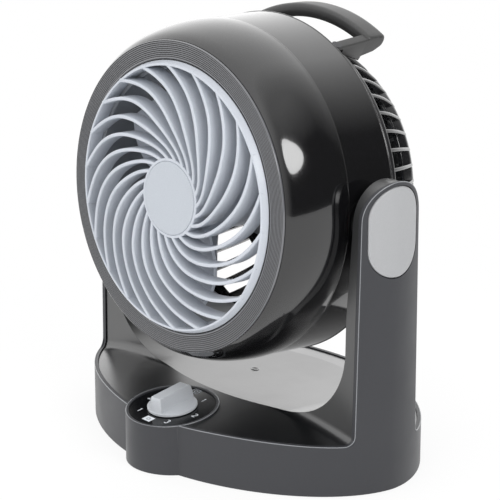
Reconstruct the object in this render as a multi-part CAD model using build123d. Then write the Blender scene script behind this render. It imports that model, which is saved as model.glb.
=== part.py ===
from build123d import *
import os
from math import atan2, cos, degrees, hypot, pi, radians, sin, sqrt, tan

# Desk air circulator: a round fan head that tilts between two arms of a swinging base.
# Millimetres.  Z is up, X runs along the tilt pins, the air leaves towards -Y.
# The origin is on the floor, on the swing axis, straight below the tilt pins.

# ---------------------------------------------------------------- driving dimensions
PIVOT_Z = 164.2              # height of the tilt pins
HEAD_TILT = 4.0              # the head looks up by this at rest

FIT = 0.1                    # gap between moulded parts that sit in each other
RUN = 0.06                   # radial gap of a shaft or pin in its bore
AIR = 0.3                    # gap between parts that move past each other

# base plan: a super-ellipse |x/a|^p + |y/b|^p = 1
PLAN_HALF_X = 126.9
PLAN_HALF_Y = 87.0
PLAN_POWER = 1.82
PLAN_Y0 = 2.7
PLAN_POINTS = 48
SKIRT_Z = 0.5                # underside of the skirt above the floor
BASE_WALL = 2.6
DECK_WALL = 2.4
LIP = 0.8                    # the outer shell stands proud of the deck by this

# deck planes and the tray between the arms
RIM_FRONT_Y = -85.0
RIM_FRONT_Z = 31.8
DECK_SLOPE = 6.2             # front deck climbs to the rear, degrees
REAR_DECK_Z = 36.0           # height of the rear deck at the rear face of the arms
REAR_SLOPE = 9.2
CROWN_FLAT = 40.0            # the deck is level across to here, then curves down to the sides
CROWN_R = 426.0
COVE_R = 6.0                 # hollow rounding between the deck and the arms
TRAY_CREST_Y = -33.0         # the tray starts here on the centre line
TRAY_SLOPE = 5.2
TRAY_CORNER = 50.0           # radius between the tray and an arm
TRAY_SAG = 5.5               # the tray floor is this much lower on the centre line than at its ends

# arms
ARM_HALF = 21.4              # half depth at the round top
ARM_LOW_HALF = 23.4          # half depth at the deck
ARM_INNER_X = 107.6
ARM_FLARE_Z = 110.0          # above this the inner faces lean outwards
ARM_FLARE = 3.6              # degrees
ARM_SEAT_X = 109.4           # flat seat round the pin on the inner face
ARM_TOP_Z = 171.1            # centre of the round top
CAP_HALF = 18.6
CAP_LOW_Z = 153.9
CAP_HIGH_Z = 172.2
CAP_DEEP = 1.5
CAP_PROUD = 0.3
CAP_GAP = 0.5

# switch boss, dial and knob
BOSS_R = 29.2
BOSS_Y = -65.5
BOSS_WALL = 1.9
DIAL_THICK = 1.6
DIAL_SUNK = 0.8
SHELF_THICK = 2.0
KNOB_R = 15.6
KNOB_RIM = 1.3               # height of the knob's outer edge
KNOB_DOME = 2.9              # height of its skirt in the middle
KNOB_HEIGHT = 10.8
GRIP_WIDE = 10.8
GRIP_TAPER = 8.0
GRIP_TURN = 4.0             # at rest the grip leans from straight back towards the left arm, degrees
NOSE_HIGH = 7.0              # the grip's pointing end falls to this height
NOSE_LONG = 3.5
KNOB_GAP = 0.6
SPINDLE_R = 3.0
SPINDLE_IN = 7.0             # depth of the spindle's hole in the knob
SWITCH_SIDE = 24.0
SWITCH_DEEP = 13.0
SWITCH_NECK_R = 5.0
SPINDLE_DEEP = 9.0

# foot and swing bearing
FOOT_Z = 1.5                 # underside of the foot plate
FOOT_R = 72.0
FOOT_THICK = 3.0
PAD_R = 6.0
PAD_THICK = 3.0
PAD_RING_R = 61.0
PAD_COUNT = 6
GLIDE_IN = 54.0
GLIDE_OUT = 64.0
GLIDE_THICK = 1.2
RIB_MARGIN = 2.0
COVER_Z = 9.3                # underside of the bottom cover
COVER_THICK = 2.5
POST_R = 10.0
HUB_WALL = 3.4
HUB_TALL = 7.7
SWING_WASHER_R = 13.0
SWING_WASHER_THICK = 1.5
SWING_SCREW_R = 2.5
SCREW_SLOT = 1.0

# swing drive
CRANK_Y = 26.0               # crank shaft behind the swing axis
CRANK_THROW = 15.0
CRANK_THICK = 3.0
CRANK_HALF = 5.0
CRANK_PIN_R = 2.5
CRANK_SHAFT_R = 2.5
CRANK_SHAFT_IN = 6.0
SLOT_SIDE = 1.6              # side clearance of the crank pin in the foot's slot
SLOT_END = 1.5
SLOT_FLOOR = 0.8
SWING_MOTOR_R = 21.0
SWING_MOTOR_TALL = 12.0
SWING_MOTOR_OFFSET = 14.0
SWING_EAR = 7.0
SWING_EAR_THICK = 1.5
SWING_EAR_HALF = 5.0
EAR_HOLE_IN = 3.5            # from an ear's end to its hole

# base contents
BALLAST_SIZE = (118.0, 20.0, 8.0)
BALLAST_AT = (0.0, -25.3)
CAPACITOR_SIZE = (30.0, 15.0, 14.0)
CAPACITOR_AT = (60.0, 32.0)
TERMINAL_SIZE = (26.0, 14.0, 9.0)
TERMINAL_AT = (-60.0, 32.0)
SCREW_R = 1.7
SCREW_HEAD_R = 3.2
SCREW_HEAD_TALL = 2.0
SCREW_BOSS_R = 4.6
BASE_SCREWS = ((-88, -24), (88, -24), (-84, 38), (84, 38), (-36, 66), (36, 66), (-48, -54), (48, -54))
BASE_SCREW_LONG = 10.0
BASE_SCREW_SUNK = 1.5        # depth of a screw head's seat in the cover
GLAND_Z = 17.2
GLAND_R = 5.5
GLAND_IN_R = 4.8
GLAND_NECK_R = 4.0
GLAND_BORE_R = 2.8
GLAND_FLANGE = 2.0
GLAND_PROUD = 5.0

# tilt pins
PIN_R = 6.0
PIN_FLANGE_R = 9.0
PIN_FLANGE = 2.0
PIN_OUT_X = 118.4
PIN_BOSS_R = 10.0
SEAT_R = 15.0
PAD_X = 107.6                # outer face of the head's pivot pad
PIVOT_PAD_R = 16.0
PIVOT_TUBE_R = 11.0
PIVOT_TUBE_IN_X = 98.2
WASHER_R = 14.0
PIN_NUT_R = 9.5
PIN_NUT_THICK = 3.5

# fan head, in its own frame: Y is the fan axis, the pins lie on X through y = 0
BEZEL_Y = -62.2
BEZEL_R = 95.0
BEZEL_IN_R = 83.6
BEZEL_THICK = 1.5
BEZEL_STEP = 3.0
GROOVE_FIRST_R = 85.0
GROOVE_LAST_R = 94.0
GROOVE_COUNT = 8
GROOVE_DEEP = 0.5
SHELL_WALL = 2.4
FRONT_STATIONS = ((-60.5, 95.4), (-58.0, 97.7), (-52.0, 100.7), (-45.0, 102.9), (-38.0, 104.3),
                  (-31.0, 105.1), (-25.0, 105.3), (-19.2, 105.0))
REAR_STATIONS = ((-19.0, 104.8), (-9.0, 105.1), (0.0, 105.3), (9.0, 105.5), (17.0, 105.7))
REAR_LIP_Y = 19.3
REAR_LIP_R = 104.0
REAR_FLANGE_IN_R = 96.0
REAR_FLANGE_THICK = 2.4
DUCT_R = 77.5
DUCT_WALL = 1.8
DUCT_END_Y = -2.0
DUCT_FLANGE = 2.0
DUCT_FLARE = 2.8

# front grille
VANES = 22
VANE_THICK = 1.7
VANE_DEEP = 11.0
VANE_STATIONS = ((22.6, -66.3, 14.8), (24.0, -66.5, 17.6), (30.0, -67.8, 28.9), (38.0, -69.8, 42.6),
                 (46.0, -70.8, 53.7), (55.0, -70.0, 64.6), (65.0, -68.3, 76.2), (80.0, -66.0, 95.4),
                 (81.0, -65.9, 96.6))           # radius, front edge y, turn in degrees
GRILLE_R = 82.9
GRILLE_FRONT_R = 81.4
GRILLE_IN_R = 79.8
GRILLE_FRONT_Y = -66.2
GRILLE_FLANGE_R = 87.0
GRILLE_FLANGE = 1.5
GRILLE_HUB_R = 24.4
GRILLE_HUB_DEEP = 9.4
GRILLE_HUB_WALL = 2.9
GRILLE_HUB_FLOOR = 2.0
CAP_R = 22.5
CAP_THICK = 2.4
CAP_FRONT_Y = -66.9

# impeller, seen from the front it turns clockwise
BLADES = 3
BLADE_THICK = 1.8
BLADE_STATIONS = ((22.8, -43.0, 178.0, 86.0, 37.0), (40.0, -42.6, 174.0, 84.0, 40.0),
                  (55.0, -42.2, 168.5, 81.0, 43.0), (66.0, -42.0, 160.0, 77.0, 45.0),
                  (74.0, -41.5, 152.0, 70.0, 45.0))  # radius, front y, front angle, span, depth
BLADE_BOW = 1.6
BLADE_STEPS = 9
IMPELLER_HUB_R = 24.0
IMPELLER_WALL = 2.4
HUB_FRONT_Y = -46.0
HUB_REAR_Y = -3.0
HUB_CORE_R = 7.5
HUB_ROUND = 5.0
NUT_R = 8.0
NUT_TALL = 6.0

# motor
SHAFT_R = 4.0
SHAFT_REAR_Y = 64.0
MOTOR_R = 34.0
MOTOR_WALL = 2.2
MOTOR_FRONT_Y = 10.0
MOTOR_REAR_Y = 64.6
STATOR_IN_R = 19.4
STATOR_Y0 = 29.0
STATOR_Y1 = 49.0
AIR_GAP = 0.6
COIL_IN_R = 21.0
COIL_OUT_R = 30.0
COIL_DEEP = 7.0
BUSH_R = 8.0
BUSH_LONG = 8.0
MOTOR_SCREW_R = 24.0

# rear guard and carrying handle
GUARD_BASE_IN_R = 94.5
GUARD_BASE_WALL = 6.4
GUARD_BASE_Y = 26.0
GUARD_SIDE = ((3.1, 24.0), (2.5, 27.0), (-3.9, 44.0), (-15.2, 62.4), (-18.5, 66.4),
              (-24.5, 68.6), (-30.5, 69.8))     # a fin's outer edge: radius beyond the base ring's inside, and y
FINS = 50
FIN_PHASE = 0.1              # the first fin stands this share of a step above +X
FIN_THICK = 2.2
FIN_DEEP = 5.0
GUARD_DISH_R = 78.3          # dish under the rear of the fins, with a rim that reaches forwards
GUARD_DISH = ((0, 54.0), (0, 62.0), (-3.1, 65.6), (-8.6, 67.8), (-12.3, 69.0))     # its outside: radius beyond
GUARD_DISH_IN = ((-2.4, 54.0), (-2.4, 61.0), (-4.9, 63.9), (-9.4, 65.7), (-12.9, 66.6))     # R, and y; inside
GUARD_MOUNT_R = 36.5         # thicker middle of the dish that carries the motor
GUARD_REAR_Y = 69.0
TAB_R = 85.0
TAB_WIDE = 12.0
POST_RING_R = 90.0
SHELL_POST_R = 4.4
SHELL_SCREW_LONG = 14.0
RIB_HALF = 1.0
TAB_THICK = 2.5
SHELL_SCREW_BAYS = (4, 20, 29, 45)     # the screws stand midway between two fins
HANDLE_R = GUARD_BASE_IN_R + 14.1
HANDLE_IN_R = GUARD_BASE_IN_R + 5.5
HANDLE_BAR_Y = 45.0
HANDLE_REAR_Y = 61.2
HANDLE_HALF_ANGLE = 27.4
HANDLE_LEG = 6.4
HANDLE_ROUND = 1.6
LEG_OUTLINE = ((6.6, 19.5), (8.9, 19.5), (9.7, 26.4), (13.8, 54.5), (12.5, 59.8), (4.5, 59.8), (0.1, 44.6),
               (-3.0, 44.0), (3.5, 26.3), (6.6, 26.3))     # a leg's side, radii as in GUARD_SIDE
LEG_BOLT_Y = 22.6
BOLT_SEAT_R = GUARD_BASE_IN_R + 7.9
BOLT_HEAD_TALL = 1.6

# ---------------------------------------------------------------- derived places
HEAD = Location((0, 0, PIVOT_Z), (-HEAD_TILT, 0, 0))
FOOT_TOP = FOOT_Z + FOOT_THICK
RIB_TOP = COVER_Z - FIT - GLIDE_THICK
COVER_TOP = COVER_Z + COVER_THICK
BASE_SCREW_SEAT = COVER_Z + BASE_SCREW_SUNK
HUB_TOP = COVER_Z + HUB_TALL
POST_TOP = HUB_TOP + 0.2
DECK_TAN = tan(radians(DECK_SLOPE))
REAR_TAN = tan(radians(REAR_SLOPE))
TRAY_TAN = tan(radians(TRAY_SLOPE))
CREST_Z = RIM_FRONT_Z + (TRAY_CREST_Y - RIM_FRONT_Y) * DECK_TAN
DIAL_Z = RIM_FRONT_Z + (BOSS_Y - RIM_FRONT_Y) * DECK_TAN
DIAL = Location((0, BOSS_Y, DIAL_Z), (DECK_SLOPE, 0, 0))
PLATE_Z = LIP - DIAL_SUNK - DIAL_THICK          # underside of the dial plate, on the dial's own axis
SHELL_SCREWS = [(bay + FIN_PHASE + 0.5) * 360 / FINS for bay in SHELL_SCREW_BAYS]
SCREW_TURNS = (45, 135, 225, 315)
TAB_TOP = REAR_LIP_Y + TAB_THICK
DUCT_FRONT_Y = BEZEL_Y + BEZEL_THICK + BEZEL_STEP + GRILLE_FLANGE + FIT


def keep(name, shape):
    """Write one sub-part, a single solid or a group of alike solids."""
    solids = shape.solids() if not isinstance(shape, list) else [s for g in shape for s in g.solids()]
    export_step(Compound(children=solids) if len(solids) > 1 else solids[0], f"parts/{name}.step")


def box(x0, x1, y0, y1, z0, z1):
    """Block between two corners."""
    return Pos((x0 + x1) / 2, (y0 + y1) / 2, (z0 + z1) / 2) * Box(x1 - x0, y1 - y0, z1 - z0)


def drum(r, z0, z1, x=0.0, y=0.0):
    """Upright cylinder."""
    return Pos(x, y, (z0 + z1) / 2) * Cylinder(r, z1 - z0)


def x_drum(r, x0, x1, z=0.0, y=0.0):
    """Cylinder along X."""
    return Pos((x0 + x1) / 2, y, z) * Rot(0, 90, 0) * Cylinder(r, x1 - x0)


def y_drum(r, y0, y1, x=0.0, z=0.0):
    """Cylinder along Y."""
    return Pos(x, (y0 + y1) / 2, z) * Rot(90, 0, 0) * Cylinder(r, y1 - y0)


def lathe(*points):
    """Body of revolution about the fan axis from a closed outline of (radius, y) points."""
    return revolve(make_face(Polyline(*points, close=True)), Axis.Y, 360)


def tube(r_in, r_out, y0, y1):
    """Plain ring about the fan axis."""
    return lathe((r_in, y0), (r_out, y0), (r_out, y1), (r_in, y1))


def spun(shape, angle):
    """Turn a head part about the fan axis; a positive angle runs from +X towards +Z."""
    return Rot(0, -angle, 0) * shape


def both_sides(shape):
    """A part and its mirror twin on the other arm."""
    return [shape, mirror(shape, Plane.YZ)]


# ---------------------------------------------------------------- base forms
def plan_face(inset):
    """Base outline moved inwards by a wall."""
    a, b = PLAN_HALF_X - inset, PLAN_HALF_Y - inset
    points = []
    for i in range(PLAN_POINTS):
        c, s = cos(2 * pi * i / PLAN_POINTS), sin(2 * pi * i / PLAN_POINTS)
        x = a * abs(c) ** (2 / PLAN_POWER) * (1 if c >= 0 else -1)
        y = b * abs(s) ** (2 / PLAN_POWER) * (1 if s >= 0 else -1)
        points.append((x, PLAN_Y0 + y))
    return make_face(Spline(*points, periodic=True))


def prism(inset, z0, z1):
    """Upright body on the base outline."""
    return extrude(Pos(0, 0, z0) * plan_face(inset), z1 - z0)


def side_extrude(face):
    """Extrude a face drawn in (y, z) through the whole width."""
    wide = PLAN_HALF_X + 10
    return extrude(Plane(origin=(-wide, 0, 0), x_dir=(0, 1, 0), z_dir=(1, 0, 0)) * face, 2 * wide)


def crown_block(height, slope):
    """Everything under a crowned deck that passes y = 0 at a height and climbs to the rear by a slope."""
    reach = PLAN_HALF_Y + 20
    far = PLAN_HALF_X + 15
    fall = CROWN_R - sqrt(CROWN_R ** 2 - (far - CROWN_FLAT) ** 2)
    mid = (far + CROWN_FLAT) / 2
    mid_fall = CROWN_R - sqrt(CROWN_R ** 2 - (mid - CROWN_FLAT) ** 2)
    low = -4 * CREST_Z
    right = ThreePointArc((CROWN_FLAT, 0), (mid, -mid_fall), (far, -fall))
    left = ThreePointArc((-far, -fall), (-mid, -mid_fall), (-CROWN_FLAT, 0))
    rest = Polyline((far, -fall), (far, low), (-far, low), (-far, -fall))
    face = make_face([left, Line((-CROWN_FLAT, 0), (CROWN_FLAT, 0)), right, rest])
    start = Plane(origin=(0, -reach, height - reach * tan(radians(slope))), x_dir=(1, 0, 0), z_dir=(0, -1, 0))
    climb = radians(slope)
    return extrude(start * face, 2 * reach / cos(climb), dir=(0, cos(climb), sin(climb)))


def deck_block(drop, z0):
    """Everything under the front and the rear deck, lowered by drop."""
    front = crown_block(RIM_FRONT_Z - RIM_FRONT_Y * DECK_TAN - drop, DECK_SLOPE)
    rear = crown_block(REAR_DECK_Z + ARM_HALF * REAR_TAN - drop, -REAR_SLOPE)
    reach = 2 * PLAN_HALF_X
    return front & rear & box(-reach, reach, -reach, reach, z0, PIVOT_Z)


def arm_block(inset, z0):
    """Round-topped slab that both arms are cut from."""
    half = ARM_HALF - inset
    foot = half + (ARM_LOW_HALF - ARM_HALF) * (ARM_TOP_Z - z0) / (ARM_TOP_Z - REAR_DECK_Z)
    slab = make_face(Polyline((-foot, z0), (foot, z0), (half, ARM_TOP_Z), (-half, ARM_TOP_Z), close=True))
    return side_extrude(slab + Pos(0, ARM_TOP_Z) * Circle(half))


def tray_cut(grow):
    """Space between the arms: flat sides, wide round corners and a gently sagging floor."""
    half = ARM_INNER_X + grow
    low = CREST_Z - grow
    reach = PLAN_HALF_Y + 40
    top = ARM_TOP_Z + 3 * ARM_HALF
    floor = ThreePointArc((-half, low + TRAY_SAG), (0, low), (half, low + TRAY_SAG))
    out = half + (top - ARM_FLARE_Z) * tan(radians(ARM_FLARE))
    walls = Polyline((half, low + TRAY_SAG), (half, ARM_FLARE_Z), (out, top),
                     (-out, top), (-half, ARM_FLARE_Z), (-half, low + TRAY_SAG))
    face = make_face([floor, walls])
    face = fillet(face.vertices().sort_by(Axis.Y)[:2], TRAY_CORNER + grow)
    start = Plane(origin=(0, -reach, (reach + TRAY_CREST_Y) * TRAY_TAN), x_dir=(1, 0, 0), z_dir=(0, -1, 0))
    return extrude(start * face, 2 * reach, dir=(0, cos(radians(TRAY_SLOPE)), -sin(radians(TRAY_SLOPE))))


def base_form(inset, z0):
    """Base and arms as one form, with every face moved in."""
    return deck_block(inset, z0) + arm_block(inset, z0) - tray_cut(inset)


def outer_form(proud, z0):
    """Base and arms under a hollow rounding where the arms rise from the deck."""
    form = deck_block(-proud, z0) + arm_block(-proud, z0)
    foot = [e for e in form.edges() if abs(abs(e.center().Y) - ARM_LOW_HALF) < 2 and 25 < e.center().Z < 45]
    return fillet(foot, COVE_R - proud)


def dial_drum(r, low, high):
    """Cylinder on the dial's own axis, heights measured from the dial plane."""
    return DIAL * (Pos(0, 0, (low + high) / 2) * Cylinder(r, high - low))


def boss_post(r, z0, raise_by):
    """Upright post of the switch boss, topped by the dial plane."""
    post = drum(r, z0, DIAL_Z + 2 * BOSS_R, 0, BOSS_Y)
    return post - dial_drum(3 * BOSS_R, raise_by, raise_by + 4 * BOSS_R)


def cap_outline(grow):
    """Stadium of the arm cap, through the whole width."""
    half = CAP_HALF + grow
    bar = Pos(0, (CAP_LOW_Z + CAP_HIGH_Z) / 2) * Rectangle(2 * half, CAP_HIGH_Z - CAP_LOW_Z)
    ends = [Pos(0, z) * Circle(half) for z in (CAP_LOW_Z, CAP_HIGH_Z)]
    return side_extrude(bar + ends[0] + ends[1])


# ---------------------------------------------------------------- foot
def foot_plate():
    """Turntable foot: plate, glide rib, swing post and the slot for the crank pin."""
    body = drum(FOOT_R, FOOT_Z, FOOT_TOP)
    body += drum(GLIDE_OUT + RIB_MARGIN, FOOT_TOP, RIB_TOP) - drum(GLIDE_IN - RIB_MARGIN, FOOT_TOP, RIB_TOP)
    body += drum(POST_R, FOOT_TOP, POST_TOP)
    body -= drum(SWING_SCREW_R, FOOT_TOP, POST_TOP)
    near = sqrt(CRANK_Y ** 2 + CRANK_THROW ** 2) - CRANK_PIN_R - SLOT_END
    far = CRANK_Y + CRANK_THROW + CRANK_PIN_R + SLOT_END
    half = CRANK_PIN_R + SLOT_SIDE
    body -= box(-half, half, near, far, FOOT_Z + SLOT_FLOOR, FOOT_TOP)
    for x, y in pad_places():
        body -= drum(PAD_R + FIT, FOOT_Z, PAD_THICK, x, y)
    return body


def pad_places():
    """Centres of the rubber feet."""
    turns = [2 * pi / PAD_COUNT * (i + 0.5) for i in range(PAD_COUNT)]
    return [(PAD_RING_R * cos(turn), PAD_RING_R * sin(turn)) for turn in turns]


def rubber_feet():
    """Pads that the fan stands on."""
    return [drum(PAD_R, 0, PAD_THICK, x, y) for x, y in pad_places()]


def glide_ring():
    """Slippery ring that the swinging base slides on."""
    top = RIB_TOP + GLIDE_THICK
    return drum(GLIDE_OUT, RIB_TOP, top) - drum(GLIDE_IN, RIB_TOP, top)


def swing_washer():
    """Washer that keeps the base on its post."""
    top = POST_TOP + SWING_WASHER_THICK
    return drum(SWING_WASHER_R, POST_TOP, top) - drum(SWING_SCREW_R, POST_TOP, top)


def swing_screw():
    """Screw down the post."""
    top = POST_TOP + SWING_WASHER_THICK
    head_r = 2 * SWING_SCREW_R
    half, crown = SCREW_SLOT / 2, top + SWING_SCREW_R
    head = drum(head_r, top, crown)
    head -= box(-head_r, head_r, -half, half, crown - SWING_SCREW_R / 2, crown)
    return head + drum(SWING_SCREW_R - RUN, FOOT_TOP + AIR, top)


# ---------------------------------------------------------------- base
def base_shell():
    """Outer shell: skirt, outer walls of the arms and the switch boss."""
    top = ARM_TOP_Z + 2 * ARM_HALF
    inside = prism(BASE_WALL, 0, top)
    body = (prism(0, SKIRT_Z, top) - inside) & outer_form(LIP, 0)
    body += boss_post(BOSS_R, SKIRT_Z, LIP)
    body -= boss_post(BOSS_R - BOSS_WALL, 0, PLATE_Z - SHELF_THICK)
    body -= inside & drum(2 * BOSS_R, 0, DIAL_Z - SWITCH_DEEP, 0, BOSS_Y)
    body -= dial_drum(BOSS_R - BOSS_WALL, PLATE_Z, 2 * BOSS_R)
    body -= dial_drum(SWITCH_NECK_R + FIT, -2 * BOSS_R, 2 * BOSS_R)
    pocket = prism(-5, 0, top) - prism(CAP_DEEP, 0, top)
    body -= pocket & cap_outline(CAP_GAP)
    body -= y_drum(GLAND_NECK_R + FIT, 0, PLAN_HALF_Y + 20, 0, GLAND_Z)
    return max(body.solids(), key=lambda s: s.volume)


def deck_tray():
    """Deck, tray and inner halves of the arms, moulded in one."""
    top = ARM_TOP_Z + 2 * ARM_HALF
    core = prism(BASE_WALL + FIT, 0, top)
    inner = base_form(DECK_WALL, 0)
    body = (core & (outer_form(0, COVER_TOP) - tray_cut(0))) - (inner & prism(BASE_WALL, -1, top))
    body -= drum(BOSS_R + FIT, 0, ARM_TOP_Z, 0, BOSS_Y)
    for x, y in BASE_SCREWS:
        post = drum(SCREW_BOSS_R, COVER_TOP, PIVOT_Z, x, y) & inner
        body += post - drum(SCREW_R - FIT, 0, COVER_TOP + BASE_SCREW_LONG, x, y)
    seat = x_drum(SEAT_R, ARM_SEAT_X, ARM_SEAT_X + DECK_WALL, PIVOT_Z)
    for sleeve in both_sides(seat + x_drum(PIN_BOSS_R, ARM_SEAT_X, PIN_OUT_X - PIN_FLANGE, PIVOT_Z)):
        body += sleeve
    body -= x_drum(PIN_R + RUN, -PIN_OUT_X - 9, PIN_OUT_X + 9, PIVOT_Z)
    return max(body.solids(), key=lambda s: s.volume)


def bottom_cover():
    """Flat cover under the base, with the swing hub and the hole for the crank."""
    body = prism(BASE_WALL + AIR, COVER_Z, COVER_TOP)
    body += drum(BOSS_R - BOSS_WALL - AIR, COVER_Z, COVER_TOP, 0, BOSS_Y)
    body += drum(POST_R + HUB_WALL, COVER_Z, HUB_TOP)
    body -= drum(POST_R + RUN, 0, HUB_TOP)
    body -= drum(CRANK_HALF + 2 * AIR, 0, COVER_TOP, 0, CRANK_Y)
    for x, y in BASE_SCREWS:
        body -= drum(SCREW_R + FIT, 0, COVER_TOP, x, y)
        body -= drum(SCREW_HEAD_R + FIT, 0, BASE_SCREW_SEAT, x, y)
    return max(body.solids(), key=lambda s: s.volume)


def base_screws():
    """Screws that hold the cover to the deck's posts."""
    seat = BASE_SCREW_SEAT
    head = [drum(SCREW_HEAD_R, seat - SCREW_HEAD_TALL, seat, x, y) for x, y in BASE_SCREWS]
    end = COVER_TOP + BASE_SCREW_LONG - AIR
    shank = [drum(SCREW_R - FIT - RUN, seat, end, x, y) for x, y in BASE_SCREWS]
    return [h + s for h, s in zip(head, shank)]


def arm_cap():
    """Pale stadium-shaped cap over the end of a tilt pin."""
    top = ARM_TOP_Z + 2 * ARM_HALF
    skin = prism(-CAP_PROUD, 0, top) - prism(CAP_DEEP - FIT, -1, top + 1)
    return (skin & cap_outline(0)) & box(0, 2 * PLAN_HALF_X, -ARM_HALF, ARM_HALF, 0, top)


def dial_plate():
    """Black plate round the knob."""
    plate = dial_drum(BOSS_R - BOSS_WALL - FIT, PLATE_Z, PLATE_Z + DIAL_THICK)
    return plate - dial_drum(SWITCH_NECK_R + FIT, PLATE_Z - 1, PLATE_Z + DIAL_THICK + 1)


def rotary_switch():
    """Switch under the dial, with a threaded neck through the shelf."""
    top = PLATE_Z - SHELF_THICK
    body = DIAL * (Pos(0, 0, top - SWITCH_DEEP / 2) * Box(SWITCH_SIDE, SWITCH_SIDE, SWITCH_DEEP))
    body += dial_drum(SWITCH_NECK_R, top, PLATE_Z + DIAL_THICK)
    body -= dial_drum(SPINDLE_R + RUN, top - SPINDLE_DEEP, PLATE_Z + DIAL_THICK)
    return body


def swing_motor():
    """Slow synchronous motor that turns the crank, with its shaft off centre."""
    y = CRANK_Y + SWING_MOTOR_OFFSET
    body = drum(SWING_MOTOR_R, COVER_TOP, COVER_TOP + SWING_MOTOR_TALL, 0, y)
    half = SWING_MOTOR_R + SWING_EAR
    body += box(-half, half, y - SWING_EAR_HALF, y + SWING_EAR_HALF, COVER_TOP, COVER_TOP + SWING_EAR_THICK)
    body -= drum(CRANK_SHAFT_R + RUN, COVER_TOP, COVER_TOP + CRANK_SHAFT_IN + AIR, 0, CRANK_Y)
    for side in (-1, 1):
        body -= drum(SCREW_R, COVER_TOP, COVER_TOP + SWING_MOTOR_TALL, side * (half - EAR_HOLE_IN), y)
    return body


def swing_motor_screws():
    """Two screws through the motor's ears."""
    y = CRANK_Y + SWING_MOTOR_OFFSET
    x = SWING_MOTOR_R + SWING_EAR - EAR_HOLE_IN
    seat = COVER_TOP + SWING_EAR_THICK
    heads = [drum(SCREW_HEAD_R, seat, seat + SCREW_HEAD_TALL, s * x, y) for s in (-1, 1)]
    shanks = [drum(SCREW_R - RUN, COVER_TOP, seat, s * x, y) for s in (-1, 1)]
    return [h + s for h, s in zip(heads, shanks)]


def floor_block(size, at):
    """A boxed component that stands on the bottom cover."""
    sx, sy, sz = size
    x, y = at
    return box(x - sx / 2, x + sx / 2, y - sy / 2, y + sy / 2, COVER_TOP, COVER_TOP + sz)


def cord_gland():
    """Strain-relief bush in the rear of the skirt."""
    wall_out = PLAN_Y0 + PLAN_HALF_Y
    wall_in = wall_out - BASE_WALL
    body = y_drum(GLAND_R, wall_out + FIT, wall_out + GLAND_PROUD, 0, GLAND_Z)
    body += y_drum(GLAND_NECK_R, wall_in - FIT, wall_out + FIT, 0, GLAND_Z)
    body += y_drum(GLAND_IN_R, wall_in - FIT - GLAND_FLANGE, wall_in - FIT, 0, GLAND_Z)
    return body - y_drum(GLAND_BORE_R, 0, 2 * wall_out, 0, GLAND_Z)


def pivot_pin():
    """Flanged pin through the arm and the head's pivot tube."""
    inner = PIVOT_TUBE_IN_X - AIR - PIN_NUT_THICK
    pin = x_drum(PIN_R, inner, PIN_OUT_X, PIVOT_Z)
    return pin + x_drum(PIN_FLANGE_R, PIN_OUT_X - PIN_FLANGE, PIN_OUT_X, PIVOT_Z)


def pivot_nut():
    """Round nut that draws the head against the arm."""
    outer = PIVOT_TUBE_IN_X - AIR
    return x_drum(PIN_NUT_R, outer - PIN_NUT_THICK, outer, PIVOT_Z) - x_drum(PIN_R, 0, 2 * outer, PIVOT_Z)


def friction_washer():
    """Fibre washer between the arm and the head's pivot pad."""
    washer = x_drum(WASHER_R, PAD_X + FIT, ARM_SEAT_X, PIVOT_Z)
    return washer - x_drum(PIN_R, 0, 2 * ARM_SEAT_X, PIVOT_Z)


# ---------------------------------------------------------------- swing crank
def crank_arm():
    """Crank with its shaft, lying straight back at rest."""
    low = RIB_TOP - CRANK_THICK
    end = CRANK_Y + CRANK_THROW
    body = box(-CRANK_HALF, CRANK_HALF, CRANK_Y, end, low, RIB_TOP)
    for y in (CRANK_Y, end):
        body += drum(CRANK_HALF, low, RIB_TOP, 0, y)
    body += drum(CRANK_SHAFT_R, RIB_TOP, COVER_TOP + CRANK_SHAFT_IN, 0, CRANK_Y)
    return body - drum(CRANK_PIN_R / 2, low, RIB_TOP, 0, end)


def crank_pin():
    """Shouldered pin that runs in the foot's slot."""
    low = RIB_TOP - CRANK_THICK
    end = CRANK_Y + CRANK_THROW
    body = drum(CRANK_PIN_R, FOOT_Z + SLOT_FLOOR + AIR, low, 0, end)
    return body + drum(CRANK_PIN_R / 2, low, low + CRANK_THICK, 0, end)


# ---------------------------------------------------------------- knob
def dial_knob():
    """Domed knob with a finger grip across it; the grip's low end is its pointer."""
    low = PLATE_Z + DIAL_THICK + KNOB_GAP
    swell = KNOB_RIM + 0.8 * (KNOB_DOME - KNOB_RIM)
    dome = ThreePointArc((KNOB_R, KNOB_RIM), (KNOB_R / 2, swell), (0, KNOB_DOME))
    side = Polyline((0, KNOB_DOME), (0, 0), (KNOB_R, 0), (KNOB_R, KNOB_RIM))
    skirt = revolve(Plane.XZ * make_face([dome, side]), Axis.Z, 360)
    grip = SlotOverall(2 * KNOB_R, GRIP_WIDE, rotation=90)
    grip = extrude(Pos(0, 0, KNOB_RIM / 2) * grip, KNOB_HEIGHT - KNOB_RIM / 2, taper=GRIP_TAPER)
    length = Polyline((-KNOB_R, 0), (KNOB_R, 0), (KNOB_R, NOSE_HIGH), (KNOB_R - NOSE_LONG, KNOB_HEIGHT),
                      (-KNOB_R, KNOB_HEIGHT), close=True)
    grip &= side_extrude(make_face(length))
    body = DIAL * (Pos(0, 0, low) * (skirt + Rot(0, 0, GRIP_TURN) * grip))
    return body - dial_drum(SPINDLE_R, low, low + SPINDLE_IN)


def knob_spindle():
    """Metal spindle between the knob and the switch."""
    low = PLATE_Z - SHELF_THICK - SPINDLE_DEEP + AIR
    high = PLATE_Z + DIAL_THICK + KNOB_GAP + SPINDLE_IN
    return dial_drum(SPINDLE_R, low, high)


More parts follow.
